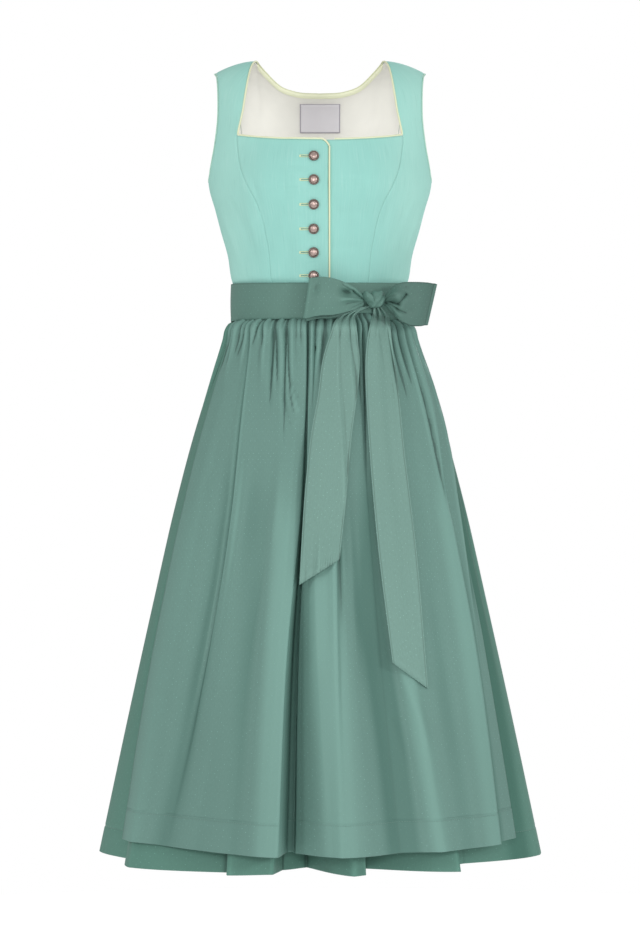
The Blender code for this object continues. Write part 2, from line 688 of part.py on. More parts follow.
def build():
    clear_scene()
    mint = material("mint_linen", MINT)
    green = material("green_skirt", GREEN, 0.7)
    apron = material("green_apron", APRON_GREEN, 0.6)
    ivory = material("ivory_lining", IVORY)
    lime = material("pale_piping", LIME)
    build_bodice(mint, ivory)
    build_label(material("label_cloth", LABEL_GREY, 0.5))
    build_piping(lime)
    build_buttons(material("antique_copper", COPPER, 0.35, 1.0))
    build_skirt(green)
    build_apron(apron)
    build_band(apron)
    build_loop("bow_loop_right", LOOP_RIGHT, LOOP_RIGHT_LEAN, apron)
    build_loop("bow_loop_left", LOOP_LEFT, LOOP_LEFT_LEAN, apron)
    build_tail("bow_tail_right", TAIL_RIGHT, apron)
    build_tail("bow_tail_left", TAIL_LEFT, apron)
    build_knot(apron)


build()
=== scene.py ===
# A dirndl dress in its worn form: metres, +Z up, front towards -Y, the wearer's left towards +X.
# A place on the cloth is a turn, in degrees from centre front towards +X, and a level, its height.
import math

import bmesh
import bpy
import numpy as np
from mathutils import Matrix, Vector


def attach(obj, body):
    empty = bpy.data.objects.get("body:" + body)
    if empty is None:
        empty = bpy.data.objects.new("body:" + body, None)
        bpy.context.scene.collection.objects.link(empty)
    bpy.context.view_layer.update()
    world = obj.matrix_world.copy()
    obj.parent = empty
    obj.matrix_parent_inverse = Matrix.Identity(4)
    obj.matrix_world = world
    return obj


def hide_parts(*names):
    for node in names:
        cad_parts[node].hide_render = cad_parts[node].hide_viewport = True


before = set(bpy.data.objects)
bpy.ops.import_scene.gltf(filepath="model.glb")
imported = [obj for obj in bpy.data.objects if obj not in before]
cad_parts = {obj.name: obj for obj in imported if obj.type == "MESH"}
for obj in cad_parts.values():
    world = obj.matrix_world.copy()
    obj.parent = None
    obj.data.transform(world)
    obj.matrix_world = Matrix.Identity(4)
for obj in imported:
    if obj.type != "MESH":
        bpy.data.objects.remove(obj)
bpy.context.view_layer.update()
print("frame loaded:", len(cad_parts), "nodes")

form = {
    "cloth": 0.0013,  # wall of a cloth piece
    "seam": 0.0003,  # gap between two sewn pieces
    "piping": 0.0013,  # radius
    "arch": 0.075,  # height over which the shoulders round over
    "neckHalf": 0.089,
    "shoulderHalf": 0.148,
    "shoulderFall": 0.018,
    "bust": 0.008,
    "waist": -0.338,
    "underarm": -0.170,
    "skirtHem": -1.1046,
    "backNeck": -0.037,
    "necklineCorner": -0.1105,
    "necklineCentre": -0.120,
    "overlapEdge": 0.0115,
    "underlapEdge": -0.022,
    "overlapOut": 0.0018,
    "liningOut": -0.0021,
    "labelOut": -0.0044,
    "apronOut": 0.0033,
    "bandOut": 0.0062,
    "bandFlare": 0.0031,
    "bandTuck": 0.0026,  # how much closer the band lies where no apron is under it
    "tuckFlare": 0.0024,  # and how much of its flare goes there
    "bandTop": -0.316,
    "bandBottom": -0.3644,
    "knotRise": 0.0085,
}

# level, half width, front depth, back depth
rings = (
    (0, 0.158, 0.1, 0.096),
    (-0.08, 0.158, 0.1, 0.097),
    (-0.115, 0.158, 0.107, 0.099),
    (-0.15, 0.157, 0.113, 0.101),
    (-0.182, 0.1535, 0.114, 0.1),
    (-0.204, 0.147, 0.111, 0.097),
    (-0.238, 0.138, 0.106, 0.092),
    (-0.272, 0.1284, 0.1, 0.087),
    (-0.305, 0.1231, 0.096, 0.084),
    (-0.322, 0.1178, 0.093, 0.082),
    (-0.345, 0.117, 0.093, 0.082),
    (-0.363, 0.118, 0.094, 0.083),
    (-0.368, 0.124, 0.0975, 0.0865),
    (-0.374, 0.128, 0.103, 0.091),
    (-0.389, 0.1322, 0.107, 0.095),
    (-0.445, 0.1514, 0.125, 0.113),
    (-0.501, 0.1696, 0.142, 0.13),
    (-0.613, 0.2, 0.172, 0.158),
    (-0.753, 0.232, 0.206, 0.19),
    (-0.921, 0.269, 0.244, 0.225),
    (-1.1046, 0.308, 0.281, 0.262),
)


def eased(rows, at, column=1):  # a table's column, read with a smooth cubic through its rows
    keys = np.array([row[0] for row in rows], float)
    values = np.array([row[column] for row in rows], float)
    if keys[0] > keys[-1]:
        keys, values = keys[::-1], values[::-1]
    slopes = np.gradient(values, keys)
    at = np.clip(np.asarray(at, float), keys[0], keys[-1])
    i = np.clip(np.searchsorted(keys, at) - 1, 0, len(keys) - 2)
    step = keys[i + 1] - keys[i]
    t = (at - keys[i]) / step
    start = (2 * t**3 - 3 * t**2 + 1) * values[i] + (t**3 - 2 * t**2 + t) * step * slopes[i]
    end = (3 * t**2 - 2 * t**3) * values[i + 1] + (t**3 - t**2) * step * slopes[i + 1]
    return start + end


def ease(share):
    share = np.clip(share, 0, 1)
    return share * share * (3 - 2 * share)


def bell(*shares):  # 1 where every share is 0, and nearly 0 from 2 on
    return np.exp(-sum(share**2 for share in shares))


def uneven(number):  # an even, repeatable scatter between -1 and 1
    value = math.sin(number * 12.9898 + 4.1414) * 43758.5453
    return 2 * (value - math.floor(value)) - 1


def levelOf(height):  # the level whose surface lies at this height, where the shoulders round over
    rise = np.clip((np.asarray(height, float) + form["arch"]) / form["arch"], 0, 1)
    return np.where(rise > 0, -form["arch"] + form["arch"] * np.arcsin(rise) / (math.pi / 2), height)


def surface(turn, level):
    turn, level = np.broadcast_arrays(np.radians(turn), np.asarray(level, float))
    roll = np.clip((level + form["arch"]) / form["arch"], 0, 1) * math.pi / 2
    height = np.where(roll > 0, -form["arch"] + form["arch"] * np.sin(roll), level)
    depth = np.where(np.cos(turn) > 0, eased(rings, level, 2), eased(rings, level, 3)) * np.cos(roll)
    x = eased(rings, level, 1) * np.sin(turn)
    bust = form["bust"] * bell((np.abs(x) - 0.070) / 0.042, (level + 0.172) / 0.042)
    y = -depth * np.cos(turn) - np.where(np.cos(turn) > 0, bust, 0)
    beyond = np.maximum(np.abs(x) - form["neckHalf"], 0) / (form["shoulderHalf"] - form["neckHalf"])
    height = height - form["shoulderFall"] * beyond**1.8 * np.sin(roll) ** 2
    return np.stack([x, y, height], axis=-1)


def outward(turn, level):  # normals, kept level below the waist so that folds don't tilt the hems
    across = surface(turn + 0.5, level) - surface(turn - 0.5, level)
    along = surface(turn, level + 0.0005) - surface(turn, level - 0.0005)
    normal = np.cross(across, along)
    below = np.broadcast_to(level, normal.shape[:-1]) < form["waist"]
    normal[..., 2] = np.where(below, 0.0, normal[..., 2])
    return normal / np.linalg.norm(normal, axis=-1, keepdims=True)


def placed(turn, level, out=0.0):
    turn, level, out = np.broadcast_arrays(np.asarray(turn, float), np.asarray(level, float), out)
    return surface(turn, level) + outward(turn, level) * out[..., None]


def facing(turn, level, out):  # seats a piece on the surface, its +Z outwards and its +Y upwards
    turned = Vector(outward(turn, level)).to_track_quat("Z", "Y").to_matrix().to_4x4()
    return Matrix.Translation(Vector(placed(turn, level, out))) @ turned


def turnOf(x, level):
    return np.degrees(np.arcsin(np.clip(x / eased(rings, level, 1), -1, 1)))


# ---- looks


class Shade:  # a value or vector on its way through a material's nodes
    def __init__(self, paint, socket):
        self.paint = paint
        self.socket = socket

    def maths(self, operation, *values):
        return self.paint.node("ShaderNodeMath", {"operation": operation}, *values)

    def __add__(self, other):
        return self.maths("ADD", self, other)

    def __sub__(self, other):
        return self.maths("SUBTRACT", self, other)

    def __rsub__(self, other):
        return self.maths("SUBTRACT", other, self)

    def __mul__(self, other):
        return self.maths("MULTIPLY", self, other)

    __radd__ = __add__
    __rmul__ = __mul__

    def ripple(self, pitch):  # -1 to 1 and back over each pitch
        return self.maths("SINE", self * (math.tau / pitch))

    def size(self):
        return self.maths("ABSOLUTE", self)

    def most(self, other):
        return self.maths("MAXIMUM", self, other)

    def between(self, low, high):  # 0 at low, 1 at high, softly
        return self.paint.node("ShaderNodeMapRange", {"interpolation_type": "SMOOTHSTEP"}, self, low, high)

    def vector(self, operation, other):
        return self.paint.node("ShaderNodeVectorMath", {"operation": operation}, self, other)


class Paint:  # a material whose shader is fed by its nodes
    def __init__(self, name, constants):
        self.made = bpy.data.materials.new(name)
        self.made.use_nodes = True
        self.tree = self.made.node_tree
        self.shader = self.tree.nodes["Principled BSDF"]
        for socket, value in constants.items():
            self.shader.inputs[socket].default_value = value

    def feed(self, socket, value):
        if isinstance(value, Shade):
            self.tree.links.new(value.socket, socket)
        elif value is not None:
            isColour = socket.type == "RGBA" and len(value) == 3
            socket.default_value = (*value, 1.0) if isColour else value

    def node(self, kind, settings, *values, out=0):
        made = self.tree.nodes.new(kind)
        for name, value in settings.items():
            setattr(made, name, value)
        for socket, value in zip(made.inputs, values):
            self.feed(socket, value)
        return Shade(self, made.outputs[out])

    def mixed(self, factor, first, second):
        return self.node("ShaderNodeMix", {"data_type": "RGBA"}, factor, *[None] * 5, first, second, out=2)

    def uv(self):
        return self.node("ShaderNodeTexCoord", {}, out=2)

    def place(self):
        return self.node("ShaderNodeTexCoord", {}, out=3)

    def attribute(self, name):
        return self.node("ShaderNodeAttribute", {"attribute_name": name}, out=2)

    def split(self, vector, axis):
        return self.node("ShaderNodeSeparateXYZ", {}, vector, out=axis)

    def noise(self, vector, sizes, detail=2.0):  # sizes: blobs in a metre, along each axis
        return self.node("ShaderNodeTexNoise", {}, vector.vector("MULTIPLY", sizes), None, 1.0, detail, 0.5)

    def bump(self, height, strength, distance):
        return self.node("ShaderNodeBump", {}, strength, distance, None, height)

    def finish(self, **feeds):
        for socket, value in feeds.items():
            self.feed(self.shader.inputs[socket.replace("_", " ")], value)
        return self.made


def tinted(colour, light):
    return tuple(channel * light for channel in colour)


def weave(paint, uv, pitch):  # a plain weave's height, over and under
    return paint.split(uv, 0).ripple(pitch) * paint.split(uv, 1).ripple(pitch) * 0.5 + 0.5


def slubLinen(name, middle, sides):  # painted light: the linen is lighter and greyer where it turns away round the sides, to offset the shade there
    look = {"pitch": 0.0011, "slub": (1 / 0.0016, 1 / 0.040, 1), "thread": (1 / 0.0007, 1 / 0.012, 1)}
    paint = Paint(name, {"Roughness": 0.82, "Specular IOR Level": 0.25, "IOR": 1.38})
    uv = paint.uv()
    # painted light: this mask lightens the linen with its distance from the middle
    aside = paint.split(paint.place(), 0).size().between(0.060, 0.135)
    streaks = paint.noise(uv, look["slub"], 3.0)
    threads = paint.noise(uv, look["thread"], 1.0)
    cloudy = paint.noise(uv, (22, 12, 1))
    dark = tinted(middle, 0.5)
    shade = paint.mixed(aside, middle, sides)
    shade = paint.mixed(streaks.between(0.52, 0.72) * 0.05, shade, (1, 1, 1))
    shade = paint.mixed(streaks.between(0.44, 0.26) * 0.12, shade, dark)
    shade = paint.mixed(cloudy.between(0.35, 0.75) * 0.08, shade, dark)
    height = weave(paint, uv, look["pitch"]) * 0.35 + threads * 0.35 + streaks * 0.5
    bump = paint.bump(height, 0.55, 0.00030)
    return paint.finish(Base_Color=shade, Roughness=threads * 0.12 + 0.76, Normal=bump)


def dottedCotton(name, colour, dotLight=1.6, shine=0.22, hem=0.0):  # hem: how much painted shade darkens it downwards
    # hollow: the tint of the painted shade in broad troughs
    look = {"repeat": 0.0086, "dot": 0.00047, "pitch": 0.0009, "hollow": (0.47, 0.60, 0.57)}
    paint = Paint(name, {"Roughness": 0.6, "Specular IOR Level": shine, "IOR": 1.42})
    uv = paint.uv()
    ring = look["dot"] / look["repeat"]
    masks = []
    for shift in ((0.0, 0.0, 0.0), (0.5, 0.5, 0.0)):
        cell = uv.vector("MULTIPLY", (1 / look["repeat"], 1 / look["repeat"], 0)).vector("ADD", shift)
        spot = cell.vector("FRACTION", None).vector("SUBTRACT", (0.5, 0.5, 0.0))
        away = paint.node("ShaderNodeVectorMath", {"operation": "LENGTH"}, spot, out=1)
        masks.append(away.between(ring * 1.25, ring * 0.75))
    dots = masks[0].most(masks[1])
    patchy = paint.noise(uv, (160, 160, 1)).between(0.48, 0.62)
    fine = paint.noise(uv, (1 / 0.0012, 1 / 0.006, 1))
    cloudy = paint.noise(uv, (9, 5, 1), 3.0)
    # painted shade and painted highlight follow how the cloth bends, carried in two attributes
    fold, paintedShading = paint.attribute("fold"), paint.attribute("paintedShading")
    # painted shade: a mask that grows towards the bottom
    low = paint.split(paint.place(), 2).between(-0.72, -1.05)
    shade = paint.mixed(fine.between(0.3, 0.7), tinted(colour, 0.955), tinted(colour, 1.04))
    hollow = tuple(channel * light for channel, light in zip(colour, look["hollow"]))
    for amount, tint in (
        (cloudy.between(0.35, 0.7) * 0.55, tinted(colour, 0.93)),
        (dots * (patchy * 0.85 + 0.15), tinted(colour, dotLight)),
        (fold.between(-0.04, -0.35) * 0.30, tinted(colour, 1.5)),  # painted highlight on sharp ridges, then painted shade in sharp creases
        (fold.between(0.03, 0.30) * 0.66, tinted(colour, 0.40)),
        (paintedShading.between(-0.02, -0.30) * 0.64, tinted(colour, 1.38)),  # painted highlight on broad ridges, then painted shade in broad troughs
        (paintedShading.between(0.0, 0.24) * 0.74, hollow),
        # painted shade, darker towards the bottom
        (low * hem, tinted(colour, 0.70)),
    ):
        shade = paint.mixed(amount, shade, tint)
    height = weave(paint, uv, look["pitch"]) * 0.3 + fine * 0.35 + dots * 0.6
    bump = paint.bump(height, 0.45, 0.00022)
    return paint.finish(Base_Color=shade, Roughness=fine * 0.14 + 0.52 - dots * 0.12, Normal=bump)


def plainCotton(name, colour, pitch=0.0007, paintedGlow=0.0):  # the glow is painted light: an emission in the cloth's own colour that brightens it
    lit = {"Emission Color": (*colour, 1.0), "Emission Strength": paintedGlow}
    paint = Paint(name, {"Roughness": 0.85, "Specular IOR Level": 0.2, "IOR": 1.36, **lit})
    uv = paint.uv()
    cloudy = paint.noise(uv, (28, 18, 1), 3.0)
    shade = paint.mixed(cloudy.between(0.3, 0.7), colour, tinted(colour, 0.955))
    height = weave(paint, uv, pitch) * 0.5 + paint.noise(uv, (1400, 400, 1), 1.0) * 0.5
    bump = paint.bump(height, 0.4, 0.0002)
    return paint.finish(Base_Color=shade, Roughness=cloudy * 0.1 + 0.78, Normal=bump)


def biasPiping(name, colour):  # bias-cut cloth over a cord: the weave runs aslant
    paint = Paint(name, {"Roughness": 0.75, "Specular IOR Level": 0.3, "IOR": 1.38})
    place = paint.place()
    aslant = paint.split(place, 0) + paint.split(place, 1) + paint.split(place, 2)
    ribs = aslant.ripple(0.0016) * 0.5 + 0.5
    cloudy = paint.noise(place, (60, 60, 60))
    shade = paint.mixed(ribs * 0.5 + cloudy * 0.3, colour, tinted(colour, 0.86))
    bump = paint.bump(ribs, 0.35, 0.00025)
    return paint.finish(Base_Color=shade, Roughness=cloudy * 0.1 + 0.7, Normal=bump)


def antiqueMetal(name, bright, dark):  # "worn" is 1 on the crests and 0 in the recesses
    paint = Paint(name, {"Metallic": 1.0, "Roughness": 0.35})
    grime = paint.noise(paint.place(), (900, 900, 900), 3.0)
    tone = (paint.attribute("worn") * 0.85 + grime * 0.5 - 0.25).between(0.15, 0.75)
    return paint.finish(
        Base_Color=paint.mixed(tone, dark, bright),
        Roughness=0.62 - tone * 0.28 + grime * 0.08,
        Metallic=tone * 0.35 + 0.62,
        Normal=paint.bump(grime, 0.3, 0.00015),
    )


def sewingThread(name, colour):
    paint = Paint(name, {"Roughness": 0.6, "Sheen Weight": 0.2, "IOR": 1.42})
    place = paint.place()
    aslant = paint.split(place, 0) * 0.6 + paint.split(place, 1) * 0.5 + paint.split(place, 2)
    twist = aslant.ripple(0.0005) * 0.5 + 0.5
    shade = paint.mixed(twist, tinted(colour, 0.82), tinted(colour, 1.08))
    bump = paint.bump(twist, 0.4, 0.00015)
    return paint.finish(Base_Color=shade, Roughness=twist * 0.15 + 0.5, Normal=bump)


def wovenLabel(name, ground, edge):  # a satin ground inside a darker woven border, in metres of its own UV
    look = {"middle": (0.0585 / 2, 0.0425 / 2), "border": 0.0016, "rib": 0.0007}
    # painted light: the label glows a little
    lit = {"Emission Color": (*ground, 1.0), "Emission Strength": 0.16}
    paint = Paint(name, {"Roughness": 0.55, "IOR": 1.42, **lit})
    uv = paint.uv()
    side, end = (
        (paint.split(uv, axis) - middle).size() - (middle - look["border"])
        for axis, middle in enumerate(look["middle"])
    )
    border = side.most(end).between(-0.0002, 0.0002)
    ribs = paint.split(uv, 1).ripple(look["rib"]) * 0.5 + 0.5
    cloudy = paint.noise(uv, (120, 60, 1))
    field = paint.mixed(ribs * 0.35 + cloudy * 0.3, ground, tinted(ground, 0.9))
    return paint.finish(
        Base_Color=paint.mixed(border, field, edge),
        Roughness=ribs * 0.15 + 0.45,
        Normal=paint.bump(ribs * 0.5 + border, 0.4, 0.0003),
    )


colours = {
    "mint": (0.300, 0.612, 0.548),
    # painted light: the mint, lighter and greyer for the sides that turn away
    "mintPaintedSideLight": (0.366, 0.672, 0.598),
    "skirt": (0.100, 0.222, 0.178),
    "apron": (0.140, 0.262, 0.226),
    # painted shade: the band's satin is a darker copy of the apron's, where it catches less light
    "band": (0.108, 0.215, 0.179),
    # painted sheen: the tails' satin is a lighter copy of the apron's, where hanging satin catches more light
    "tie": (0.166, 0.296, 0.254),
    "ivory": (0.86, 0.85, 0.80),
    "lime": (0.80, 0.83, 0.58),
    "limePale": (0.47, 0.72, 0.60),
    "limeInside": (0.86, 0.88, 0.66),
    "labelGround": (0.655, 0.635, 0.67),
    "labelEdge": (0.28, 0.26, 0.30),
    "copper": (0.44, 0.33, 0.30),
    "patina": (0.040, 0.045, 0.040),
}

mint = slubLinen("mintLinen", colours["mint"], colours["mintPaintedSideLight"])
green = dottedCotton("greenCotton", colours["skirt"])
sage = dottedCotton("sageSatin", colours["apron"], 1.7, 0.3, 0.25)
# painted shade: the band, the knot and the loops take darker copies of the apron's satin, the wearer's left
# loop darker still
sageBandShaded = dottedCotton("sageSatinBandShaded", colours["band"], 1.7, 0.4)
sageLoopShaded = dottedCotton("sageSatinLoopShaded", tinted(colours["band"], 0.75), 1.7, 0.4)
# painted sheen: the tails take the lighter copy
sageTieSheen = dottedCotton("sageSatinTieSheen", colours["tie"], 1.6, 0.4)
# painted light: the lining glows a little
ivory = plainCotton("ivoryLining", colours["ivory"], paintedGlow=0.07)
lime = biasPiping("limePiping", colours["lime"])
# painted light: the binding glows a little
limeBinding = plainCotton("limeBinding", colours["limeInside"], paintedGlow=0.12)
limePale = biasPiping("limePipingPale", colours["limePale"])
labelCloth = wovenLabel("greyLabel", colours["labelGround"], colours["labelEdge"])
copper = antiqueMetal("antiqueCopper", colours["copper"], colours["patina"])
limeThread = sewingThread("limeThread", (0.80, 0.84, 0.52))
slitShade = plainCotton("slitShade", (0.11, 0.23, 0.19))
greenThread = sewingThread("greenThread", tinted(colours["apron"], 0.92))
print("materials made")


# ---- making


def linked(name, shape, looks):
    mesh = bpy.data.meshes.new(name)
    shape.to_mesh(mesh)
    shape.free()
    obj = bpy.data.objects.new(name, mesh)
    bpy.context.scene.collection.objects.link(obj)
    for look in looks:
        mesh.materials.append(look)
    mesh.shade_smooth()
    return obj


def steps(points, axis):  # distances from each row or column of points to the next
    return np.linalg.norm(np.diff(points, axis=axis), axis=-1)


def foldOf(points, reaches=((1, 0.40), (2, 0.35), (4, 0.25)), axes=(0, 1)):
    # how sharply the cloth bends, above 0 in a valley and below 0 on a ridge: a reach is in rows or columns
    normal = np.cross(np.gradient(points, axis=1), np.gradient(points, axis=0))
    normal = normal / np.maximum(np.linalg.norm(normal, axis=-1, keepdims=True), 1e-12)
    front = points.shape[1] // 3
    if (normal[:, :front] * points[:, :front] * (1, 1, 0)).sum() < 0:
        normal = -normal
    bend = np.zeros(points.shape[:2])
    for reach, weight in reaches:
        for axis in axes:
            ends = [(0, 0)] * 3
            ends[axis] = (reach, reach)
            wide = np.pad(points, ends, mode="edge")
            count = points.shape[axis]
            before = np.take(wide, np.arange(count), axis)
            after = np.take(wide, np.arange(count) + 2 * reach, axis)
            span = np.maximum(np.linalg.norm(after - before, axis=-1), 1e-6) / 2
            bend += weight * (((before + after) / 2 - points) * normal).sum(axis=-1) / span
    return bend


def clothPiece(name, points, looks, wall=form["cloth"], wide=None, flat=None, paintedShading=0.0):
    # a grid laid on rows x columns of points, with a wall, and its own metres as UV unless flat gives it
    rows, columns = points.shape[:2]
    shape = bmesh.new()
    bmesh.ops.create_grid(shape, x_segments=columns - 1, y_segments=rows - 1, size=1)
    shape.verts.ensure_lookup_table()
    # how sharply the cloth bends, and the painted shade and highlight, kept on each vertex for the materials
    values = {"fold": foldOf(points), "paintedShading": np.broadcast_to(paintedShading, (rows, columns))}
    for layerName, value in values.items():
        layer = shape.verts.layers.float.new(layerName)
        for vertex, one in zip(shape.verts, value.ravel()):
            vertex[layer] = one
    for vertex, point in zip(shape.verts, points.reshape(-1, 3)):
        vertex.co = point
    v, u = (np.concatenate([[0], np.cumsum(steps(points, axis).mean(axis=1 - axis))]) for axis in (0, 1))
    if wide:
        u = u * wide / u[-1]
    layer = shape.loops.layers.uv.new("flat")
    for face in shape.faces:
        for loop in face.loops:
            row, column = divmod(loop.vert.index, columns)
            loop[layer].uv = (u[column], v[row]) if flat is None else flat[row, column]
    obj = linked(name, shape, looks)
    thick = obj.modifiers.new("wall", "SOLIDIFY")
    thick.thickness = wall
    thick.offset = 0.0
    if len(looks) > 1:
        thick.material_offset = 1
    return obj


def patchArea(points):
    one = np.cross(points[1:, :-1] - points[:-1, :-1], points[:-1, 1:] - points[:-1, :-1])
    two = np.cross(points[:-1, 1:] - points[1:, 1:], points[1:, :-1] - points[1:, 1:])
    return (np.linalg.norm(one, axis=-1) + np.linalg.norm(two, axis=-1)).sum() / 2


cutList = []


def sewn(piece, nodes, points=None):
    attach(piece, "root")
    if nodes:
        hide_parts(*nodes)
    if points is None:
        return
    width = float(steps(points, 1).sum(axis=1).max())
    length = float(steps(points, 0).sum(axis=0).max())
    area = min(float(patchArea(points)), width * length)
    cutList.append((piece.name, round(width, 3), round(length, 3), round(area, 4)))


def cordOf(name, points, look, radius, closed=False, sides=3):
    curve = bpy.data.curves.new(name, "CURVE")
    curve.dimensions = "3D"
    curve.bevel_depth = radius
    curve.bevel_resolution = sides
    curve.use_fill_caps = True
    spline = curve.splines.new("POLY")
    spline.points.add(len(points) - 1)
    for knot, point in zip(spline.points, points):
        knot.co = (*point, 1.0)
    spline.use_cyclic_u = closed
    spline.use_smooth = True
    curve.materials.append(look)
    obj = bpy.data.objects.new(name, curve)
    bpy.context.scene.collection.objects.link(obj)
    return obj


def stitchRow(name, points, normals, look, stitch):  # running stitches along a line of points
    reach = np.concatenate([[0], np.cumsum(steps(points, 0))])
    length, radius = stitch["length"], stitch["radius"]
    one = bmesh.new()
    bmesh.ops.create_cone(one, cap_ends=True, segments=5, radius1=radius, radius2=radius, depth=length)
    ends = [edge for edge in one.edges if abs(edge.verts[0].co.z - edge.verts[1].co.z) < 1e-6]
    bmesh.ops.bevel(one, geom=ends, offset=radius * 0.5, segments=1, profile=0.5, affect="EDGES", material=-1)
    single = bpy.data.meshes.new(name + "One")
    one.to_mesh(single)
    one.free()
    whole = bmesh.new()
    for start in np.arange(stitch["gap"], reach[-1] - length, length + stitch["gap"]):
        first, last = (
            np.array([np.interp(at, reach, points[:, k]) for k in range(3)]) for at in (start, start + length)
        )
        normal = np.array([np.interp(start, reach, normals[:, k]) for k in range(3)])
        run = Vector(last - first).normalized()
        side = Vector(normal).cross(run).normalized()
        turned = Matrix((side, run.cross(side), run)).transposed().to_4x4()
        before = len(whole.verts)
        whole.from_mesh(single)
        whole.verts.ensure_lookup_table()
        seat = Matrix.Translation(Vector((first + last) / 2 + normal * radius * 0.2)) @ turned
        bmesh.ops.transform(whole, matrix=seat, verts=whole.verts[before:])
    bpy.data.meshes.remove(single)
    return linked(name, whole, [look])


gatherStart, gatherRise = (-0.3575, -0.3530), (0.010, 0.006)  # levels for ridges and for troughs


def creaseField(table, turn, level):  # the sum of soft troughs and ridges, where each row is top turn,
    # top level, bottom turn, bottom level, bow in degrees, half width, depth, start (1 = from a seam)
    total = np.zeros(np.broadcast(turn, level).shape)
    for topTurn, top, bottomTurn, bottom, bow, half, depth, start in table:
        share = (top - level) / (top - bottom)
        middle = topTurn + (bottomTurn - topTurn) * share + bow * 4 * share * (1 - share)
        away = np.abs(np.radians(turn - middle)) * eased(rings, level, 1)
        away = away / (half * (0.55 + 0.8 * np.clip(share, 0, 1)))
        swell = np.exp(-(away ** (1.2 if start and depth < 0 else 2.0)))
        kind = int(depth < 0)
        arrive = ease((gatherStart[kind] - level) / gatherRise[kind]) if start else ease(share / 0.25)
        total += depth * swell * arrive * ease((1 - share) / 0.7) * (share > -0.001)
    return total


print("tools ready")


# ---- bodice

armholeEdge = (  # level, turn of the armhole's edge at the front
    (form["underarm"], 90.0),
    (-0.165, 82.5),
    (-0.153, 76),
    (-0.134, 69.8),
    (-0.112, 65.8),
    (-0.085, 63.2),
    (-0.058, 62.9),
    (-0.03, 64.6),
    (0, 67.6),
)
frontSeam = (  # level, turn of the princess seam, then of the strap's inner edge
    (form["waist"], 33.5),
    (-0.292, 33),
    (-0.257, 33.3),
    (-0.23, 34),
    (-0.208, 36),
    (-0.18, 40.5),
    (-0.157, 44),
    (-0.134, 45.6),
    (form["necklineCorner"], 46.4),
    (-0.09, 44.4),
    (-0.057, 40.8),
    (-0.028, 37.8),
    (0, 34.4),
)
backSeam = ((form["waist"], 152.0), (-0.24, 149.0), (-0.16, 141.0), (-0.08, 134.0), (0.0, 131.5))
backNeckline = ((0.0, form["backNeck"]), (0.036, -0.0345), (0.058, -0.0270), (0.076, -0.0120), (0.089, 0.0))

bodice = {
    "rowStep": 0.0034,
    "frontRowStep": 0.0026,
    "meanRadius": 0.155,  # for the count of columns
    "crowding": 0.10,  # how much closer the columns lie near both seams
    "edgeRoll": 0.0005,  # how far a panel's edge turns in at its seam
    "edgeReach": 0.0035,
    "weaveRadius": 0.135,  # for the cloth's UV
}

# top turn, top level, bottom turn, bottom level, bow, half width, depth, start
bodiceCreases = (
    (-38, -0.15, -31, -0.3, 1, 0.007, -0.0007, 0),
    (-44, -0.19, -36, -0.32, -1, 0.01, 0.0009, 0),
    (-62, -0.175, -40, -0.3, 2, 0.009, -0.001, 0),
    (-72, -0.2, -60, -0.315, 1, 0.011, 0.0011, 0),
    (40, -0.185, 35.5, -0.31, 1, 0.009, -0.0008, 0),
    (60, -0.18, 44, -0.305, -2, 0.01, -0.001, 0),
    (74, -0.205, 62, -0.315, -1, 0.011, 0.001, 0),
    (20, -0.2, 17, -0.315, 0, 0.01, 0.0006, 0),
    (-22, -0.165, -19, -0.29, 0, 0.009, 0.0006, 0),
    (122, -0.19, 134, -0.31, 1, 0.011, -0.0011, 0),
    (165, -0.18, 170, -0.32, 0, 0.012, -0.0008, 0),
    (196, -0.2, 191, -0.315, 1, 0.012, 0.0009, 0),
    (238, -0.19, 226, -0.31, -1, 0.011, -0.0011, 0),
)

# turn, level, half length in degrees, half height, depth: soft pulls across the front, out from the buttons
buttonPulls = (
    (-10, -0.156, 9, 0.005, -0.00081),
    (-13, -0.1905, 11, 0.006, -0.00108),
    (-9, -0.224, 9, 0.0055, -0.00081),
    (-12, -0.257, 9, 0.006, -0.00081),
    (-8, -0.289, 10, 0.005, -0.00072),
    (15, -0.18, 11, 0.005, -0.00126),
    (18, -0.218, 10, 0.006, -0.00072),
    (14, -0.265, 9, 0.0065, -0.00072),
)


def pullField(turn, level):
    total = np.zeros(np.broadcast(turn, level).shape)
    for at, height, halfLength, halfHeight, depth in buttonPulls:
        total += depth * bell((turn - at) / halfLength, (level - height) / halfHeight)
    return total


def gapAt(level, reach=form["seam"] / 2):
    return np.degrees(reach / eased(rings, level, 1))


def seamShown(level):  # the seams lie flatter towards the waist
    return 0.20 + 0.80 * ease((np.asarray(level) + 0.235) / 0.070)


def armhole(level):
    return np.where(level < form["underarm"], 90.0, eased(armholeEdge, level))


def necklineLevel(turn):
    share = np.clip(np.abs(turn) / 46.4, 0, 1)
    return form["necklineCentre"] + (form["necklineCorner"] - form["necklineCentre"]) * share**2


def overlapTop(turn):
    corner = np.clip((np.asarray(turn) - 0.3) / 4.0, 0, 1)
    return necklineLevel(turn) - 0.010 * corner**2


def overlapLift(turn):
    return form["overlapOut"] * ease((turn + 20.0) / 9.0)


def backTop(turn):
    x = np.abs(eased(rings, 0.0, 1) * np.sin(np.radians(turn)))
    return np.where(x < form["neckHalf"], levelOf(eased(backNeckline, x)), 0.0)


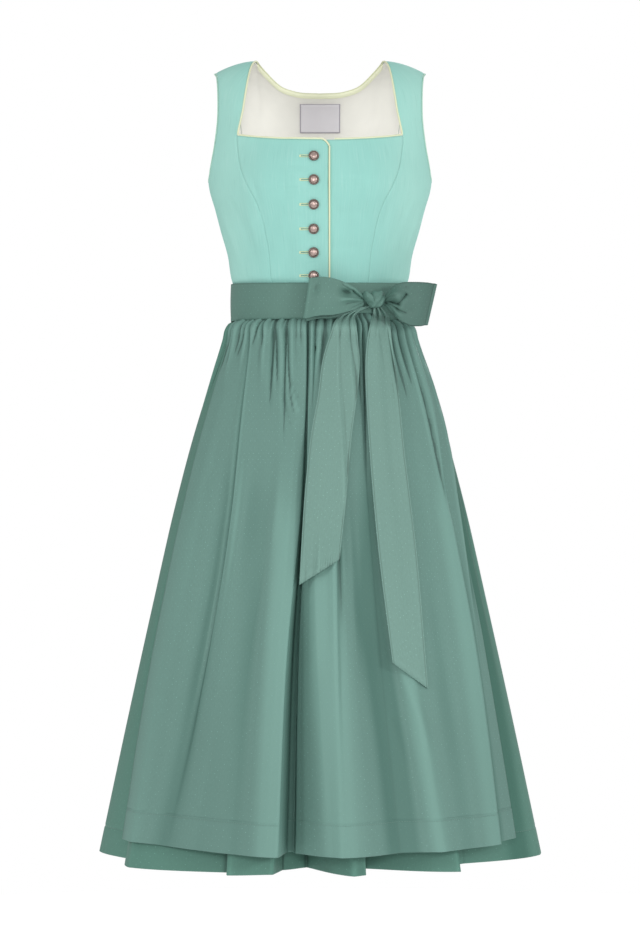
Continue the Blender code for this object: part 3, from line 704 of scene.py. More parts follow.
def bodicePoints(first, last, tops, highest=0.0, out=0.0, roll=True, rowStep=bodice["rowStep"]):
    levels = np.linspace(form["waist"], highest, round((highest - form["waist"]) / rowStep))
    widest = np.radians(np.abs(last(levels) - first(levels)).max()) * bodice["meanRadius"]
    share = np.linspace(0, 1, max(8, round(widest / rowStep)))
    share = share + bodice["crowding"] * np.sin(-math.tau * share) / math.tau * 2
    turn = first(levels)[:, None] * (1 - share) + last(levels)[:, None] * share
    upper = tops(turn[-1]) if callable(tops) else np.full(len(share), tops)
    rise = (levels - levels[0]) / (levels[-1] - levels[0])
    level = levels[0] + rise[:, None] * (upper - levels[0])
    lift = out(turn) if callable(out) else out
    if not roll:
        return placed(turn, level, lift)
    creases = creaseField(bodiceCreases, np.where(turn < -90, turn + 360, turn), level)
    points = placed(turn, level, lift + creases + pullField(turn, level))
    near = np.minimum(*(np.linalg.norm(points - points[:, [end]], axis=-1) for end in (0, -1)))
    sunk = bodice["edgeRoll"] * seamShown(level) * ease(1 - near / bodice["edgeReach"])
    return points - outward(turn, level) * sunk[..., None]


def roundFlat(points, isBack):  # metres round the body and upwards, so that the linen's slubs stand upright
    angle = np.arctan2(points[..., 0], -points[..., 1])
    angle = angle % math.tau if isBack else angle
    return np.stack([angle * bodice["weaveRadius"], points[..., 2]], axis=-1)


def makeBodice():
    seam = form["seam"]
    panels = []
    for side, name in ((-1, "Right"), (1, "Left")):
        points = bodicePoints(
            lambda level: side * (eased(frontSeam, level) + gapAt(level) * seamShown(level)),
            lambda level: side * (armhole(level) - gapAt(level)),
            -seam,
        )
        panels.append(("sideFront" + name, "side_front_" + name.lower(), points))
        points = bodicePoints(
            lambda level: side * (180.0 - armhole(level) + gapAt(level)),
            lambda level: side * (eased(backSeam, level) - gapAt(level)),
            -seam,
        )
        panels.append(("sideBack" + name, "side_back_" + name.lower(), points))
    points = bodicePoints(
        lambda level: -(eased(frontSeam, level) - gapAt(level) * seamShown(level)),
        lambda level: turnOf(form["overlapEdge"], level),
        overlapTop,
        form["necklineCorner"],
        overlapLift,
        rowStep=bodice["frontRowStep"],
    )
    panels.append(("frontRight", "front_right", points))
    points = bodicePoints(
        lambda level: turnOf(form["underlapEdge"], level),
        lambda level: eased(frontSeam, level) - gapAt(level) * seamShown(level),
        necklineLevel,
        form["necklineCorner"],
        rowStep=bodice["frontRowStep"],
    )
    panels.append(("frontLeft", "front_left", points))
    backShape = (
        lambda level: eased(backSeam, level) + gapAt(level),
        lambda level: 360.0 - eased(backSeam, level) - gapAt(level),
        lambda turn: backTop(turn) - seam,
    )
    panels.append(("back", "back", bodicePoints(*backShape)))
    for name, node, points in panels:
        normal = np.cross(points[0, 1] - points[0, 0], points[1, 0] - points[0, 0])
        grid = points[:, ::-1] if normal @ (points[0, 0] * (1, 1, 0)) < 0 else points
        piece = clothPiece(name + "Panel", grid, [mint, ivory], flat=roundFlat(grid, name == "back"))
        sewn(piece, ["bodice_" + node], points)
    lining = bodicePoints(*backShape, out=form["liningOut"], roll=False)
    sewn(clothPiece("backLining", lining, [ivory]), ["back_lining"], lining)


makeBodice()
print("bodice sewn")

label = {"wide": 0.0585, "top": -0.0475, "bottom": -0.0900, "wall": 0.0007, "curl": 0.0003}


def makeLabel():
    level = np.linspace(levelOf(label["bottom"]), levelOf(label["top"]), 12)[:, None]
    x = np.linspace(label["wide"] / 2, -label["wide"] / 2, 18)[None, :]
    turn = 180.0 - turnOf(x, level)
    curl = label["curl"] * np.cos(x / label["wide"] * math.tau * 2)
    points = placed(turn, level, form["labelOut"] - curl)
    piece = clothPiece("neckLabel", points, [labelCloth], label["wall"], wide=label["wide"])
    sewn(piece, ["neck_label"], points)


makeLabel()


# ---- piping

piping = {
    "overlapLift": 1.4,  # shares of the overlap's lift, then of the neck piping's radius
    "edgeSize": 0.9,
    "armholeSize": 0.75,
    "edgeTop": -0.1292,
}
binding = {"wide": 0.0026, "out": -0.0036, "wall": 0.0007}


def edging(turn, level, out, hand, closed=False):  # the middle of a piping that lies beside an edge
    points = placed(turn, level, out)
    ahead = np.roll(points, -1, axis=0) - points
    if not closed:
        ahead[-1] = ahead[-2]
    side = np.cross(outward(turn, level), ahead)
    side /= np.linalg.norm(side, axis=1, keepdims=True)
    before = np.roll(side, 1, axis=0)
    if not closed:
        before[0] = side[0]
    mitre = side + before
    mitre /= np.linalg.norm(mitre, axis=1, keepdims=True)
    reach = (form["piping"] + form["seam"] * 0.3) / np.maximum((mitre * side).sum(axis=1, keepdims=True), 0.6)
    return points + hand * mitre * reach


def makePiping():
    rounded = np.linspace(4.2, 1.2, 7)
    front = np.linspace(0.8, -44.5, 34)
    under = np.linspace(44.5, 7.3, 30)
    rise = np.linspace(form["necklineCorner"] + 0.001, -0.0005, 34)
    strap = eased(frontSeam, rise)
    start = float(eased(backSeam, 0.0) + gapAt(0.0))
    back = np.linspace(start, 360.0 - start, 90)
    back = back[backTop(back) < -form["seam"]][::-1]
    runs = (
        (rounded, overlapTop(rounded)),
        (front, necklineLevel(front)),
        (-strap, rise),
        (back - 360.0, backTop(back)),
        (strap[::-1], rise[::-1]),
        (under, necklineLevel(under)),
    )
    turn, level = (np.concatenate(one) for one in zip(*runs))
    onOverlap = np.arange(len(turn)) < len(rounded) + len(front)
    lift = piping["overlapLift"]
    neck = edging(turn, level, np.where(onOverlap, lift * overlapLift(turn), 0.0), -1)
    sewn(cordOf("neckPiping", neck, lime, form["piping"]), ["neck_piping"])
    down = np.linspace(piping["edgeTop"], form["waist"], 60)
    edge = edging(turnOf(form["overlapEdge"], down), down, lift * form["overlapOut"], 1)
    piece = cordOf("frontEdgePiping", edge, lime, form["piping"] * piping["edgeSize"])
    sewn(piece, ["front_edge_piping"])
    rise = np.linspace(form["underarm"], -0.003, 46)
    for side, name in ((-1, "Right"), (1, "Left")):
        turn = side * np.concatenate([armhole(rise), [armhole(0.0)], 180.0 - armhole(rise)[:0:-1]])
        level = np.concatenate([rise, [0.0], rise[:0:-1]])
        edge = edging(turn, level, 0.0, -side, True)
        piece = cordOf("armholePiping" + name, edge, limePale, form["piping"] * piping["armholeSize"], True)
        sewn(piece, ["armhole_piping_" + name.lower()])


def makeBinding():  # the bias binding inside the back neck, up to the shoulder points, wrapped over the edge
    start = float(eased(backSeam, 0.0) + gapAt(0.0)) + 0.6
    turn = np.linspace(start, 360.0 - start, 110)
    turn = turn[backTop(turn) < -0.002]
    edge = backTop(turn) + 0.0002
    x = surface(turn, edge)[:, 0]
    slope = np.abs(np.gradient(edge)) / np.maximum(np.abs(np.gradient(x)), 1e-4)
    drop = binding["wide"] * np.sqrt(1 + np.minimum(slope, 2.2) ** 2)
    level = edge - drop * np.concatenate([np.linspace(1, 0, 5), [-0.25, -0.30]])[:, None]
    out = np.array([[binding["out"]]] * 5 + [[-0.0022], [0.0002]])
    points = placed(np.broadcast_to(turn, level.shape), level, out)
    piece = clothPiece("backNeckBinding", points, [limeBinding], binding["wall"])
    sewn(piece, [], points)


makePiping()
makeBinding()
print("piping sewn")


# ---- buttons and buttonholes

buttons = {
    "levels": (-0.143, -0.175, -0.208, -0.241, -0.273, -0.3045),
    "x": -0.0085,
    "radius": 0.00725,
    "height": 0.0046,
    "seat": 0.0006,  # the shank's gap over the cloth
    "beads": 26,
    "beadRadius": 0.00078,
    "beadAt": (0.86, 0.43),  # shares of the radius and the height
    "holeLength": 0.0220,
    "holeEnd": -0.0262,  # x of the buttonhole's outer end
    "holeStitch": 0.00042,  # radius
    "holeHalf": 0.00125,  # from its middle to each row of stitches
}
buttonProfile = (  # share of the radius, share of the height, worn
    (0.0, 0.0, 0.2),
    (0.90, 0.0, 0.1),
    (0.985, 0.14, 0.4),
    (1.0, 0.26, 0.6),
    (0.96, 0.40, 0.3),
    (0.80, 0.42, 0.0),
    (0.755, 0.46, 0.0),
    (0.73, 0.60, 0.6),
    (0.66, 0.76, 0.8),
    (0.52, 0.90, 0.9),
    (0.32, 0.97, 1.0),
    (0.14, 1.0, 1.0),
    (0.0, 1.0, 1.0),
)


def makeButton(number, level):
    radius, height = buttons["radius"], buttons["height"]
    shape = bmesh.new()
    worn = shape.verts.layers.float.new("worn")
    ring = []
    for across, up, wear in buttonProfile:
        ring.append(shape.verts.new((radius * across, 0, height * up)))
        ring[-1][worn] = wear
    for a, b in zip(ring, ring[1:]):
        shape.edges.new((a, b))
    whole = {"geom": shape.verts[:] + shape.edges[:], "cent": (0, 0, 0), "axis": (0, 0, 1)}
    bmesh.ops.spin(shape, **whole, angle=math.tau, steps=48, use_merge=True)
    bmesh.ops.remove_doubles(shape, verts=shape.verts[:], dist=1e-6)
    bmesh.ops.recalc_face_normals(shape, faces=shape.faces[:])
    for i in range(buttons["beads"]):
        angle = math.tau * i / buttons["beads"]
        at = Vector((math.cos(angle), math.sin(angle), 0)) * radius * buttons["beadAt"][0]
        at.z = height * buttons["beadAt"][1]
        made = bmesh.ops.create_uvsphere(shape, u_segments=10, v_segments=6, radius=buttons["beadRadius"])
        for vertex in made["verts"]:
            vertex[worn] = min(1.0, max(0.0, 0.35 + vertex.co.z / buttons["beadRadius"] * 0.65))
        bmesh.ops.translate(shape, verts=made["verts"], vec=at)
    out = form["overlapOut"] + form["cloth"] / 2 + buttons["seat"]
    seat = facing(float(turnOf(buttons["x"], level)), level, out)
    bmesh.ops.transform(shape, matrix=seat, verts=shape.verts[:])
    sewn(linked(f"button{number}", shape, [copper]), [f"button_{number}"])


def makeButtonhole(number, level):
    # a worked slit: a dark opening between two rows of stitches, with a bar across its outer end
    x = np.linspace(buttons["holeEnd"], buttons["holeEnd"] + buttons["holeLength"], 26)
    turn = turnOf(x, level)
    out = overlapLift(turn) + form["cloth"] / 2 + 0.00025 + pullField(turn, level)
    stitch, bar = (1.0, 1.7, 1.1), (1.0, 4.6, 0.9)
    seats = []
    for up in (level - buttons["holeHalf"], level + buttons["holeHalf"]):
        seats += [(stitch, float(a), up, float(o)) for a, o in zip(turn, out)]
    for i in range(4):
        seats.append((bar, float(turn[0]) - 0.12 - 0.14 * i, level, float(out[0]) + 0.0001))
    shape = bmesh.new()
    for size, *place in seats:
        made = bmesh.ops.create_uvsphere(shape, u_segments=6, v_segments=6, radius=buttons["holeStitch"])
        bmesh.ops.scale(shape, verts=made["verts"], vec=size)
        bmesh.ops.transform(shape, matrix=facing(*place), verts=made["verts"])
    sewn(linked(f"buttonhole{number}", shape, [limeThread]), [])
    # painted shade: a thin dark bar in the slit stands for the shade in its opening
    shape = bmesh.new()
    bmesh.ops.create_cube(shape, size=1.0)
    bmesh.ops.scale(shape, verts=shape.verts[:], vec=(buttons["holeLength"], 0.0005, 0.0003))
    middle = facing(float(turn[13]), level, float(out[13]) - 0.00012)
    bmesh.ops.transform(shape, matrix=middle, verts=shape.verts[:])
    sewn(linked(f"buttonholeSlit{number}", shape, [slitShade]), [])


for number, level in enumerate(buttons["levels"], 1):
    makeButton(number, level)
    makeButtonhole(number, level)
print("buttons sewn on")


# ---- skirt and apron

skirt = {
    "top": -0.3383,
    "gatherRows": 26,  # rows down to the level where the gathers have opened
    "gatherLevel": -0.430,
    "rowStep": 0.0085,
    "columnStep": 0.0042,
    "backPleats": 9,
    "backPleatDepth": 0.042,
    "gatherPitch": 2.7,  # degrees
    "stitchRise": 0.036,
    "shade": 0.26,  # how dark the painted shadow of the apron's edge makes the skirt beside it
    "shadeAside": 12.5,  # how far beside, and how broad, in degrees
    "shadeWide": 5.0,
}
hemStitch = {"length": 0.0027, "gap": 0.0009, "radius": 0.00028}

# turn at the waist and hem, offset at the waist and hem
skirtFrontFolds = (
    (-90, -90, 0, 0),
    (-71, -69, -0.001, -0.028),
    (-54, -52, 0.001, 0.018),
    (-30, -24.9, -0.001, -0.017),
    (-27, -22.5, 0.001, 0.011),
    (-14, -12.2, 0.001, -0.012),
    (-13, -11.6, -0.002, -0.062),
    (-5, -4.6, -0.002, -0.096),
    (8, 8.3, 0.001, 0.004),
    (12, 11.4, 0, -0.007),
    (14, 14, -0.002, -0.078),
    (36, 36.5, 0.001, 0.006),
    (40, 38.6, -0.001, -0.052),
    (50, 50, -0.002, -0.056),
    (80, 81, 0, 0),
    (90, 90, 0, 0),
)

# turns at the levels of foldLevels, then offsets at them
foldLevels = (-0.350, -0.420, -0.600, -0.800, -1.066)
apronFolds = (
    (-66, -58.6, -61, -60.6, -56.9, 0.003, 0.006, 0.009, 0.012, 0.015),
    (-60, -52, -53, -53, -51, 0.003, 0.005, 0.009, 0.0145, 0.0225),
    (-50, -44, -43, -43.5, -45, 0.002, 0.003, 0.004, 0.009, 0.0165),
    (-46.8, -41.1, -37.2, -38, -42.6, 0.001, 0.001, 0.002, 0.008, 0.015),
    (-44.9, -39.2, -35.2, -36, -40.6, -0.006, -0.008, -0.009, 0.0038, 0.0148),
    (-44.2, -38.5, -34.5, -35.4, -39, 0.003, 0.006, 0.007, 0.009, 0.0148),
    (-34, -30, -28, -29, -31, 0.002, 0.004, 0.007, 0.012, 0.016),
    (-20, -19, -17, -20.5, -21, 0.001, 0.003, 0.009, 0.016, 0.026),
    (-12, -11, -11, -11.6, -12, 0.002, 0.004, 0.009, 0.028, 0.042),
    (-8.6, -7.2, -7.2, -9.2, -9.3, 0.002, 0.004, 0.003, 0.027, 0.042),
    (-8, -6.7, -6.6, -8.8, -8.9, -0.002, -0.004, -0.01, -0.018, -0.022),
    (-7.2, -6.1, -5.6, -7.1, -6.9, -0.002, -0.004, -0.012, -0.022, -0.026),
    (-6.7, -5.6, -5, -6.4, -6, 0.001, 0.001, 0.004, -0.004, -0.008),
    (-3.4, -2.4, -2, -0.8, 2.4, 0.001, 0.003, 0.011, 0.022, 0.032),
    (4, 4.2, 5, 4.6, 4.8, 0.001, 0.004, 0.015, 0.029, 0.042),
    (5, 5.2, 5.9, 5.4, 6.2, 0.001, 0.003, 0.009, 0.024, 0.042),
    (24, 21, 18.4, 18.6, 19.6, -0.001, -0.002, 0.001, 0.008, 0.015),
    (30, 27, 26, 27, 29.5, 0.002, 0.003, 0.008, 0.018, 0.029),
    (46, 44, 40, 38, 37.5, 0, 0.001, 0.009, 0.0185, 0.0265),
    (60, 58.6, 53, 50.8, 46.9, 0.003, 0.01, 0.017, 0.025, 0.028),
    (61, 59.5, 53.8, 51.5, 47.6, -0.004, -0.004, -0.002, 0.002, 0.006),
    (62.8, 61.8, 55.9, 53.4, 49.1, 0.001, 0.003, 0.005, 0.007, 0.009),
    (77, 74.6, 64, 57.6, 52.4, 0.002, 0.003, 0.009, 0.008, 0.0095),
    (78, 75.6, 64.8, 58.3, 53.1, -0.003, -0.004, -0.003, 0.006, 0.009),
    (79.2, 77, 65.9, 59.8, 54.6, 0, 0.001, 0.001, 0.006, 0.0085),
    (90, 87, 66.8, 62.2, 58.2, 0.001, 0.002, 0.003, 0.0055, 0.008),
)
apron = {
    "top": -0.350,
    "hem": -1.066,
    "hemDip": 0.010,
    "float": 0.0036,
    "stitchRise": 0.040,
    "columnStep": 0.0027,
    "puff": 0.0075,  # how far the gathers swell out below the band, over the skirt
    "puffEnd": -0.620,
    "flatPast": 84,  # turn past which the gathers lie flat
    "bendShade": 0.07,  # added to the broad bends, which get painted shade and highlight below bendTop
    "bendTop": -0.50,
    "tucked": 0.24,  # the painted shade inside the last fold
}

# turn at the waist seam, bottom turn, bottom level, bow, half width, depth
apronGathers = (
    (-63, -57, -0.45, 1, 0.002, -0.0092),
    (-60, -52.5, -0.44, 0.5, 0.0022, -0.0106),
    (-56.5, -50.5, -0.47, 0.5, 0.004, 0.0036),
    (-53, -49.5, -0.42, 0, 0.0018, -0.0078),
    (-48.6, -47.5, -0.425, 0, 0.0022, -0.0101),
    (-47, -42.5, -0.45, 0.5, 0.0036, 0.0032),
    (-41, -38, -0.4, 0, 0.003, 0.0032),
    (-37.6, -38.6, -0.408, 0, 0.0019, -0.0092),
    (-37, -31.2, -0.412, 0.4, 0.0021, -0.0101),
    (-34, -27, -0.48, 0.4, 0.0042, 0.004),
    (-31.6, -29, -0.39, 0, 0.0016, -0.006),
    (-29.4, -22, -0.5, 0.6, 0.0022, -0.0129),
    (-28.6, -19, -0.47, 0.2, 0.0022, -0.0115),
    (-24.6, -18, -0.44, 0, 0.0034, 0.004),
    (-23, -21, -0.385, 0, 0.0016, -0.0055),
    (-21, -14.3, -0.56, 0.8, 0.0021, -0.0068),
    (-20.2, -9.6, -0.515, -0.6, 0.002, -0.0055),
    (-16.8, -12, -0.48, 0, 0.0038, 0.0036),
    (-14.6, -12.4, -0.4, 0, 0.0018, -0.0027),
    (-11.6, -9.4, -0.42, 0, 0.0018, -0.0027),
    (-6.9, -5.2, -0.5, 0, 0.0021, -0.0057),
    (-4.6, -4.2, -0.48, 0, 0.0034, 0.0047),
    (-2.1, -3.7, -0.52, 0, 0.0021, -0.0062),
    (0.4, -2, -0.45, 0, 0.0032, 0.0043),
    (3.4, -0.6, -0.47, 0, 0.0023, -0.0064),
    (6.6, 3.6, -0.48, 0, 0.0036, 0.0047),
    (9.6, 7.4, -0.45, 0, 0.0022, -0.0057),
    (13, 11, -0.52, 0, 0.0036, 0.0043),
    (16, 14, -0.47, 0, 0.0021, -0.009),
    (19.2, 17.2, -0.47, 0, 0.0032, 0.0043),
    (21.6, 18.6, -0.5, 0, 0.002, -0.0083),
    (24.2, 19.6, -0.44, 0, 0.0021, -0.009),
    (27.3, 18.4, -0.6, -1.2, 0.0026, -0.0112),
    (30.8, 25.4, -0.46, 0, 0.0021, -0.011),
    (34, 30, -0.46, 0, 0.0034, 0.004),
    (37.4, 34, -0.44, 0, 0.0021, -0.0101),
    (41.2, 39.6, -0.47, 0, 0.0036, 0.004),
    (45, 43.4, -0.485, 0, 0.002, -0.0121),
    (50.8, 48.2, -0.465, 0, 0.0023, -0.0155),
    (55.4, 53.4, -0.68, -2.2, 0.0023, -0.0125),
    (53.2, 51, -0.64, -2.2, 0.004, 0.004),
    (58.2, 56.4, -0.44, 0, 0.0032, 0.0036),
    (65.4, 64, -0.465, 0, 0.0022, -0.0132),
    (69, 61.5, -0.64, 2.6, 0.004, 0.004),
    (72.8, 64, -0.68, 2.6, 0.0023, -0.0125),
    (82, 80, -0.485, 0, 0.0024, -0.0126),
    (86, 83, -0.48, 0, 0.0036, 0.0006),
)
# top turn, top level, bottom turn, bottom level, bow, half width, depth, start
apronCreases = (
    *((turn, -0.352, *rest, 1) for turn, *rest in apronGathers),
    (-18.5, -0.455, -8.6, -0.545, 0, 0.004, -0.0018, 0),
    (-14, -0.455, -7.8, -0.505, 0, 0.0034, 0.0036, 0),
    (4.9, -0.64, 4.2, -0.9, 0, 0.005, 0.0061, 0),
    (20, -0.88, 25.5, -1.01, 0, 0.008, -0.0016, 0),
    (22, -0.8, 30.5, -0.99, 0, 0.007, 0.0024, 0),
    (-47, -0.48, -50, -0.8, 0, 0.012, -0.001, 0),
    (-26, -0.52, -26.5, -0.88, 0, 0.013, -0.001, 0),
    (-14, -0.6, -15, -1.02, 0, 0.012, -0.0014, 0),
    (-38, -0.86, -39, -1.06, 0, 0.012, -0.0012, 0),
    (12, -0.7, 12.5, -1.04, 0, 0.011, -0.0014, 0),
    (37, -0.68, 36, -1.04, 0, 0.012, -0.001, 0),
    (-1, -0.8, -0.5, -1.06, 0, 0.01, -0.0014, 0),
    (6.2, -0.63, 5.9, -0.8, 0, 0.004, -0.005, 0),
    (8.5, -0.56, 26.5, -1.6, 4.5, 0.033, -0.0082, 0),
    (24.5, -0.74, 34, -1.5, 0, 0.014, 0.0052, 0),
    (37.5, -0.68, 35.5, -1.5, 0, 0.017, -0.0012, 0),
    (-42, -0.46, -42, -1.6, 0, 0.042, -0.006, 0),
    (-15, -0.48, -15.5, -1.2, 0, 0.016, 0.005, 0),
)


# the apron's sharp valleys, pressed into the skirt beneath it, with columns as for the creases
pressedFolds = (
    (-40, -0.37, -41.5, -1.09, 6.5, 0.006, -0.01, 0),
    (-60.5, -0.38, -58.5, -1.1, -2, 0.005, -0.008, 0),
    (63, -0.37, 46, -1.1, -4.5, 0.006, -0.01, 0),
    (79, -0.37, 50, -1.1, -8, 0.006, -0.01, 0),
)


def foldColumns(folds, columnStep, turnColumn, offsetColumn, hemLevel):
    # places along a fold table, as knot numbers with fractions, closer where the cloth runs in and out
    hem = surface([row[turnColumn] for row in folds], hemLevel)
    places = [0.0]
    for k in range(len(folds) - 1):
        inwards = folds[k + 1][offsetColumn] - folds[k][offsetColumn]
        split = max(4, round(math.hypot(np.linalg.norm(hem[k + 1] - hem[k]), inwards) / columnStep))
        places.extend(k + (i + 1) / split for i in range(split))
    return np.array(places)


def shareOf(level):  # 0 at the waist, 1 at the skirt's hem
    return (np.asarray(level) - form["waist"]) / (form["skirtHem"] - form["waist"])


def spread(turn, offset, place):
    # the fold lines' turns and offsets, read at each column's place: the cloth runs nearly straight between
    # two fold lines, and rounds a little at each
    k = np.clip(place.astype(int), 0, turn.shape[1] - 2)
    part = (place - k)[None, :]
    turns = turn[:, k] * (1 - part) + turn[:, k + 1] * part
    return turns, offset[:, k] + (offset[:, k + 1] - offset[:, k]) * (0.6 * part + 0.4 * ease(part))


def foldedSkirt(folds, level):
    table = np.array(folds, float)
    share = shareOf(level)[:, None]
    turn = table[:, 0] * (1 - share) + table[:, 1] * share
    offset = table[:, 2] * (1 - share) + table[:, 3] * share
    return spread(turn, offset, foldColumns(folds, skirt["columnStep"], 1, 3, form["skirtHem"]))


def foldedApron(level):
    count = len(foldLevels)
    turn, offset = (
        np.stack([eased(list(zip(foldLevels, row[part])), level) for row in apronFolds], axis=1)
        for part in (slice(0, count), slice(count, None))
    )
    return spread(turn, offset, foldColumns(apronFolds, apron["columnStep"], 4, 9, apron["hem"]))


def backFolds():
    rows = [(90.0, 90.0, 0.0, 0.0)]
    for i in range(skirt["backPleats"]):
        middle = 90.0 + 180.0 * (i + 0.5) / skirt["backPleats"]
        lean = 2.0 if i % 2 else -2.0
        depth = skirt["backPleatDepth"] * (0.8 + 0.2 * (i % 3))
        rows.append((middle - 5.0, middle - 4.5 + lean, 0.001, 0.0))
        rows.append((middle + 4.5, middle + 4.0 + lean, -0.001, -depth))
    return (*rows, (270.0, 270.0, 0.0, 0.0))


def gatherCreases(firstTurn, lastTurn, seed):  # gathers that run out of the waist seam, each its own length
    rows = []
    turn, pitch = firstTurn + skirt["gatherPitch"] / 2, skirt["gatherPitch"]
    while turn < lastTurn:
        number = seed + len(rows)
        aside, bottom = turn + 1.2 * uneven(number + 50), -0.452 - 0.07 * uneven(number)
        half = 0.0034 + 0.0008 * uneven(number + 20)
        depth = (1 if number % 2 else -1) * (0.0052 + 0.0014 * uneven(number + 70))
        rows.append((turn, form["waist"] - 0.001, aside, bottom, 0.6 * uneven(number + 90), half, depth, 1))
        turn += pitch * (1 + 0.25 * uneven(number + 33))
    return rows


def softFolds(firstTurn, lastTurn, count, seed):  # long soft troughs, uneven like the front's
    rows = []
    for number in range(seed, seed + count):
        turn = firstTurn + (lastTurn - firstTurn) * (number - seed + 0.5 + 0.25 * uneven(number)) / count
        top = -0.50 - 0.10 * (1 + uneven(number + 11))
        aside, bottom = turn + 2.0 * uneven(number + 23), top - 0.36 - 0.10 * uneven(number + 5)
        half, depth = 0.0110 + 0.0025 * uneven(number + 41), -0.0028 - 0.0008 * uneven(number + 61)
        rows.append((turn, top, aside, bottom, 0.8 * uneven(number + 31), half, depth, 0))
    return rows


def skirtLevels(top, hem, stitchRise):  # close rows in the gathers and at the row of stitches
    split = skirt["gatherLevel"]
    upper = np.linspace(top, split, skirt["gatherRows"])
    even = np.concatenate([upper, np.linspace(split, hem, round((split - hem) / skirt["rowStep"]))[1:]])
    near = hem + stitchRise + np.array([0.0026, 0.0011, 0.0, -0.0011, -0.0026])
    levels = np.concatenate([even[np.abs(even - near[2]) > 0.0045], near, [hem + 0.0012]])
    return np.sort(np.unique(levels))[::-1]


def hemFold(level, hem, rise):  # the turned-up hem: thicker below its stitches, with a dimple at them
    dimple = 0.0006 * bell((level - hem - rise) / 0.0014)
    return 0.0003 * ease((hem + rise - level) / 0.003) - dimple


def skirtPoints(folds, creases):
    level = skirtLevels(skirt["top"], form["skirtHem"], skirt["stitchRise"])
    turn, offset = foldedSkirt(folds, level)
    turn[:, 0] += gapAt(level)
    turn[:, -1] -= gapAt(level)
    rows = level[:, None]
    offset = offset + creaseField(creases, turn, rows) + hemFold(rows, form["skirtHem"], skirt["stitchRise"])
    return turn, rows, offset


def skirtFrontOffset(turn, level):
    along = np.array([np.interp(row, t, o) for row, t, o in zip(turn, *foldedSkirt(skirtFrontFolds, level))])
    return along + creaseField(pressedFolds, turn, level[:, None])


def knotRise(turn):  # the knot pulls the band's lower edge up
    return form["knotRise"] * np.exp(-(((turn - 30.0) / 10.0) ** 4))


def apronField():
    level = skirtLevels(apron["top"], apron["hem"], apron["stitchRise"])
    turn, offset = foldedApron(level)
    rows = level[:, None]
    low = ease((apron["hem"] + 0.10 - rows) / 0.10)
    drop = apron["hemDip"] * np.cos(np.radians(turn)) ** 2 * low
    floor = skirtFrontOffset(turn, level) + form["apronOut"] + apron["float"] * shareOf(level)[:, None]
    puff = apron["puff"] * ease((-0.3590 - rows) / 0.012) * ease((rows - apron["puffEnd"]) / 0.16)
    puff = puff * ease((apron["flatPast"] - np.abs(turn)) / 30)
    offset = offset + form["apronOut"] + puff + creaseField(apronCreases, turn, rows)
    offset = offset + hemFold(rows, apron["hem"], apron["stitchRise"])
    rise = knotRise(turn) * ease((rows + 0.385) / 0.035)
    return turn, rows - drop + rise, np.maximum(offset, floor)


apronTurn, apronLevel, apronOffset = apronField()
apronRows = apronLevel.mean(axis=1)  # each row's level


def apronCrest(turn, level, reach=5.0):  # the farthest that the apron stands out round each place
    at = np.interp(level, apronRows[::-1], np.arange(len(apronRows))[::-1])
    crest = np.empty(len(turn))
    for i, (t, row) in enumerate(zip(turn, at)):
        low = int(row)
        high = min(low + 1, len(apronRows) - 1)
        near = t + np.linspace(-reach, reach, 13)
        first, second = (np.interp(near, apronTurn[k], apronOffset[k]).max() for k in (low, high))
        crest[i] = first + (second - first) * (row - low)
    return crest


def hemStitches(name, turn, level, offset, rise):  # a row of stitches at this rise above the hem
    rows = level.mean(axis=1)
    row = int(np.argmin(np.abs(rows - (rows[-1] + rise))))
    points = placed(turn[row], level[row], offset[row] + form["cloth"] / 2)
    piece = stitchRow(name, points, outward(turn[row], level[row]), greenThread, hemStitch)
    sewn(piece, [])


def makeSkirt():
    beside = gatherCreases(-90, -56, 3) + gatherCreases(70, 90, 31)
    beside += softFolds(-88, -60, 2, 5) + softFolds(62, 88, 2, 9)
    behind = gatherCreases(90, 270, 60) + softFolds(95, 265, 10, 17)
    for name, node, folds, creases in (
        ("skirtFront", "skirt_front", skirtFrontFolds, beside + list(pressedFolds)),
        ("skirtBack", "skirt_back", backFolds(), behind),
    ):
        turn, level, offset = skirtPoints(folds, creases)
        points = placed(turn, level, offset)
        edge = np.interp(level, apronRows[::-1], apronTurn[::-1, -1])  # the apron's left edge throws a painted shadow
        shade = skirt["shade"] * bell((turn - edge - skirt["shadeAside"]) / skirt["shadeWide"])
        shade = shade * ease((-0.50 - level) / 0.12)
        piece = clothPiece(name, points[::-1], [green], paintedShading=shade[::-1])
        sewn(piece, [node], points)
        hemStitches(name + "HemStitches", turn, level, offset, skirt["stitchRise"])


def makeApron():
    points = placed(apronTurn, apronLevel, apronOffset)
    # painted shade in the broad troughs, painted highlight on the broad ridges, and painted shade inside the
    # last fold
    hollow = foldOf(points, ((10, 0.5), (16, 0.5)), (1,)) + apron["bendShade"]
    hollow = hollow * ease((apron["bendTop"] - apronLevel) / 0.16)
    tucked = apron["tucked"] * bell((apronTurn - 79.0 - 58.0 * (apronLevel + 0.497)) / 1.6)
    hollow = hollow + tucked * ease((-0.44 - apronLevel) / 0.04) * ease((apronLevel + 0.63) / 0.06)
    piece = clothPiece("apronPanel", points[::-1], [sage], paintedShading=hollow[::-1])
    sewn(piece, ["apron_panel"], points)
    hemStitches("apronHemStitches", apronTurn, apronLevel, apronOffset, apron["stitchRise"])


makeSkirt()
print("skirt sewn")
makeApron()
print("apron sewn")

band = {"columns": 200, "rows": 17, "bulge": 0.0008, "wall": 0.0015, "topRise": 0.0026, "sideTuck": 0.0034}

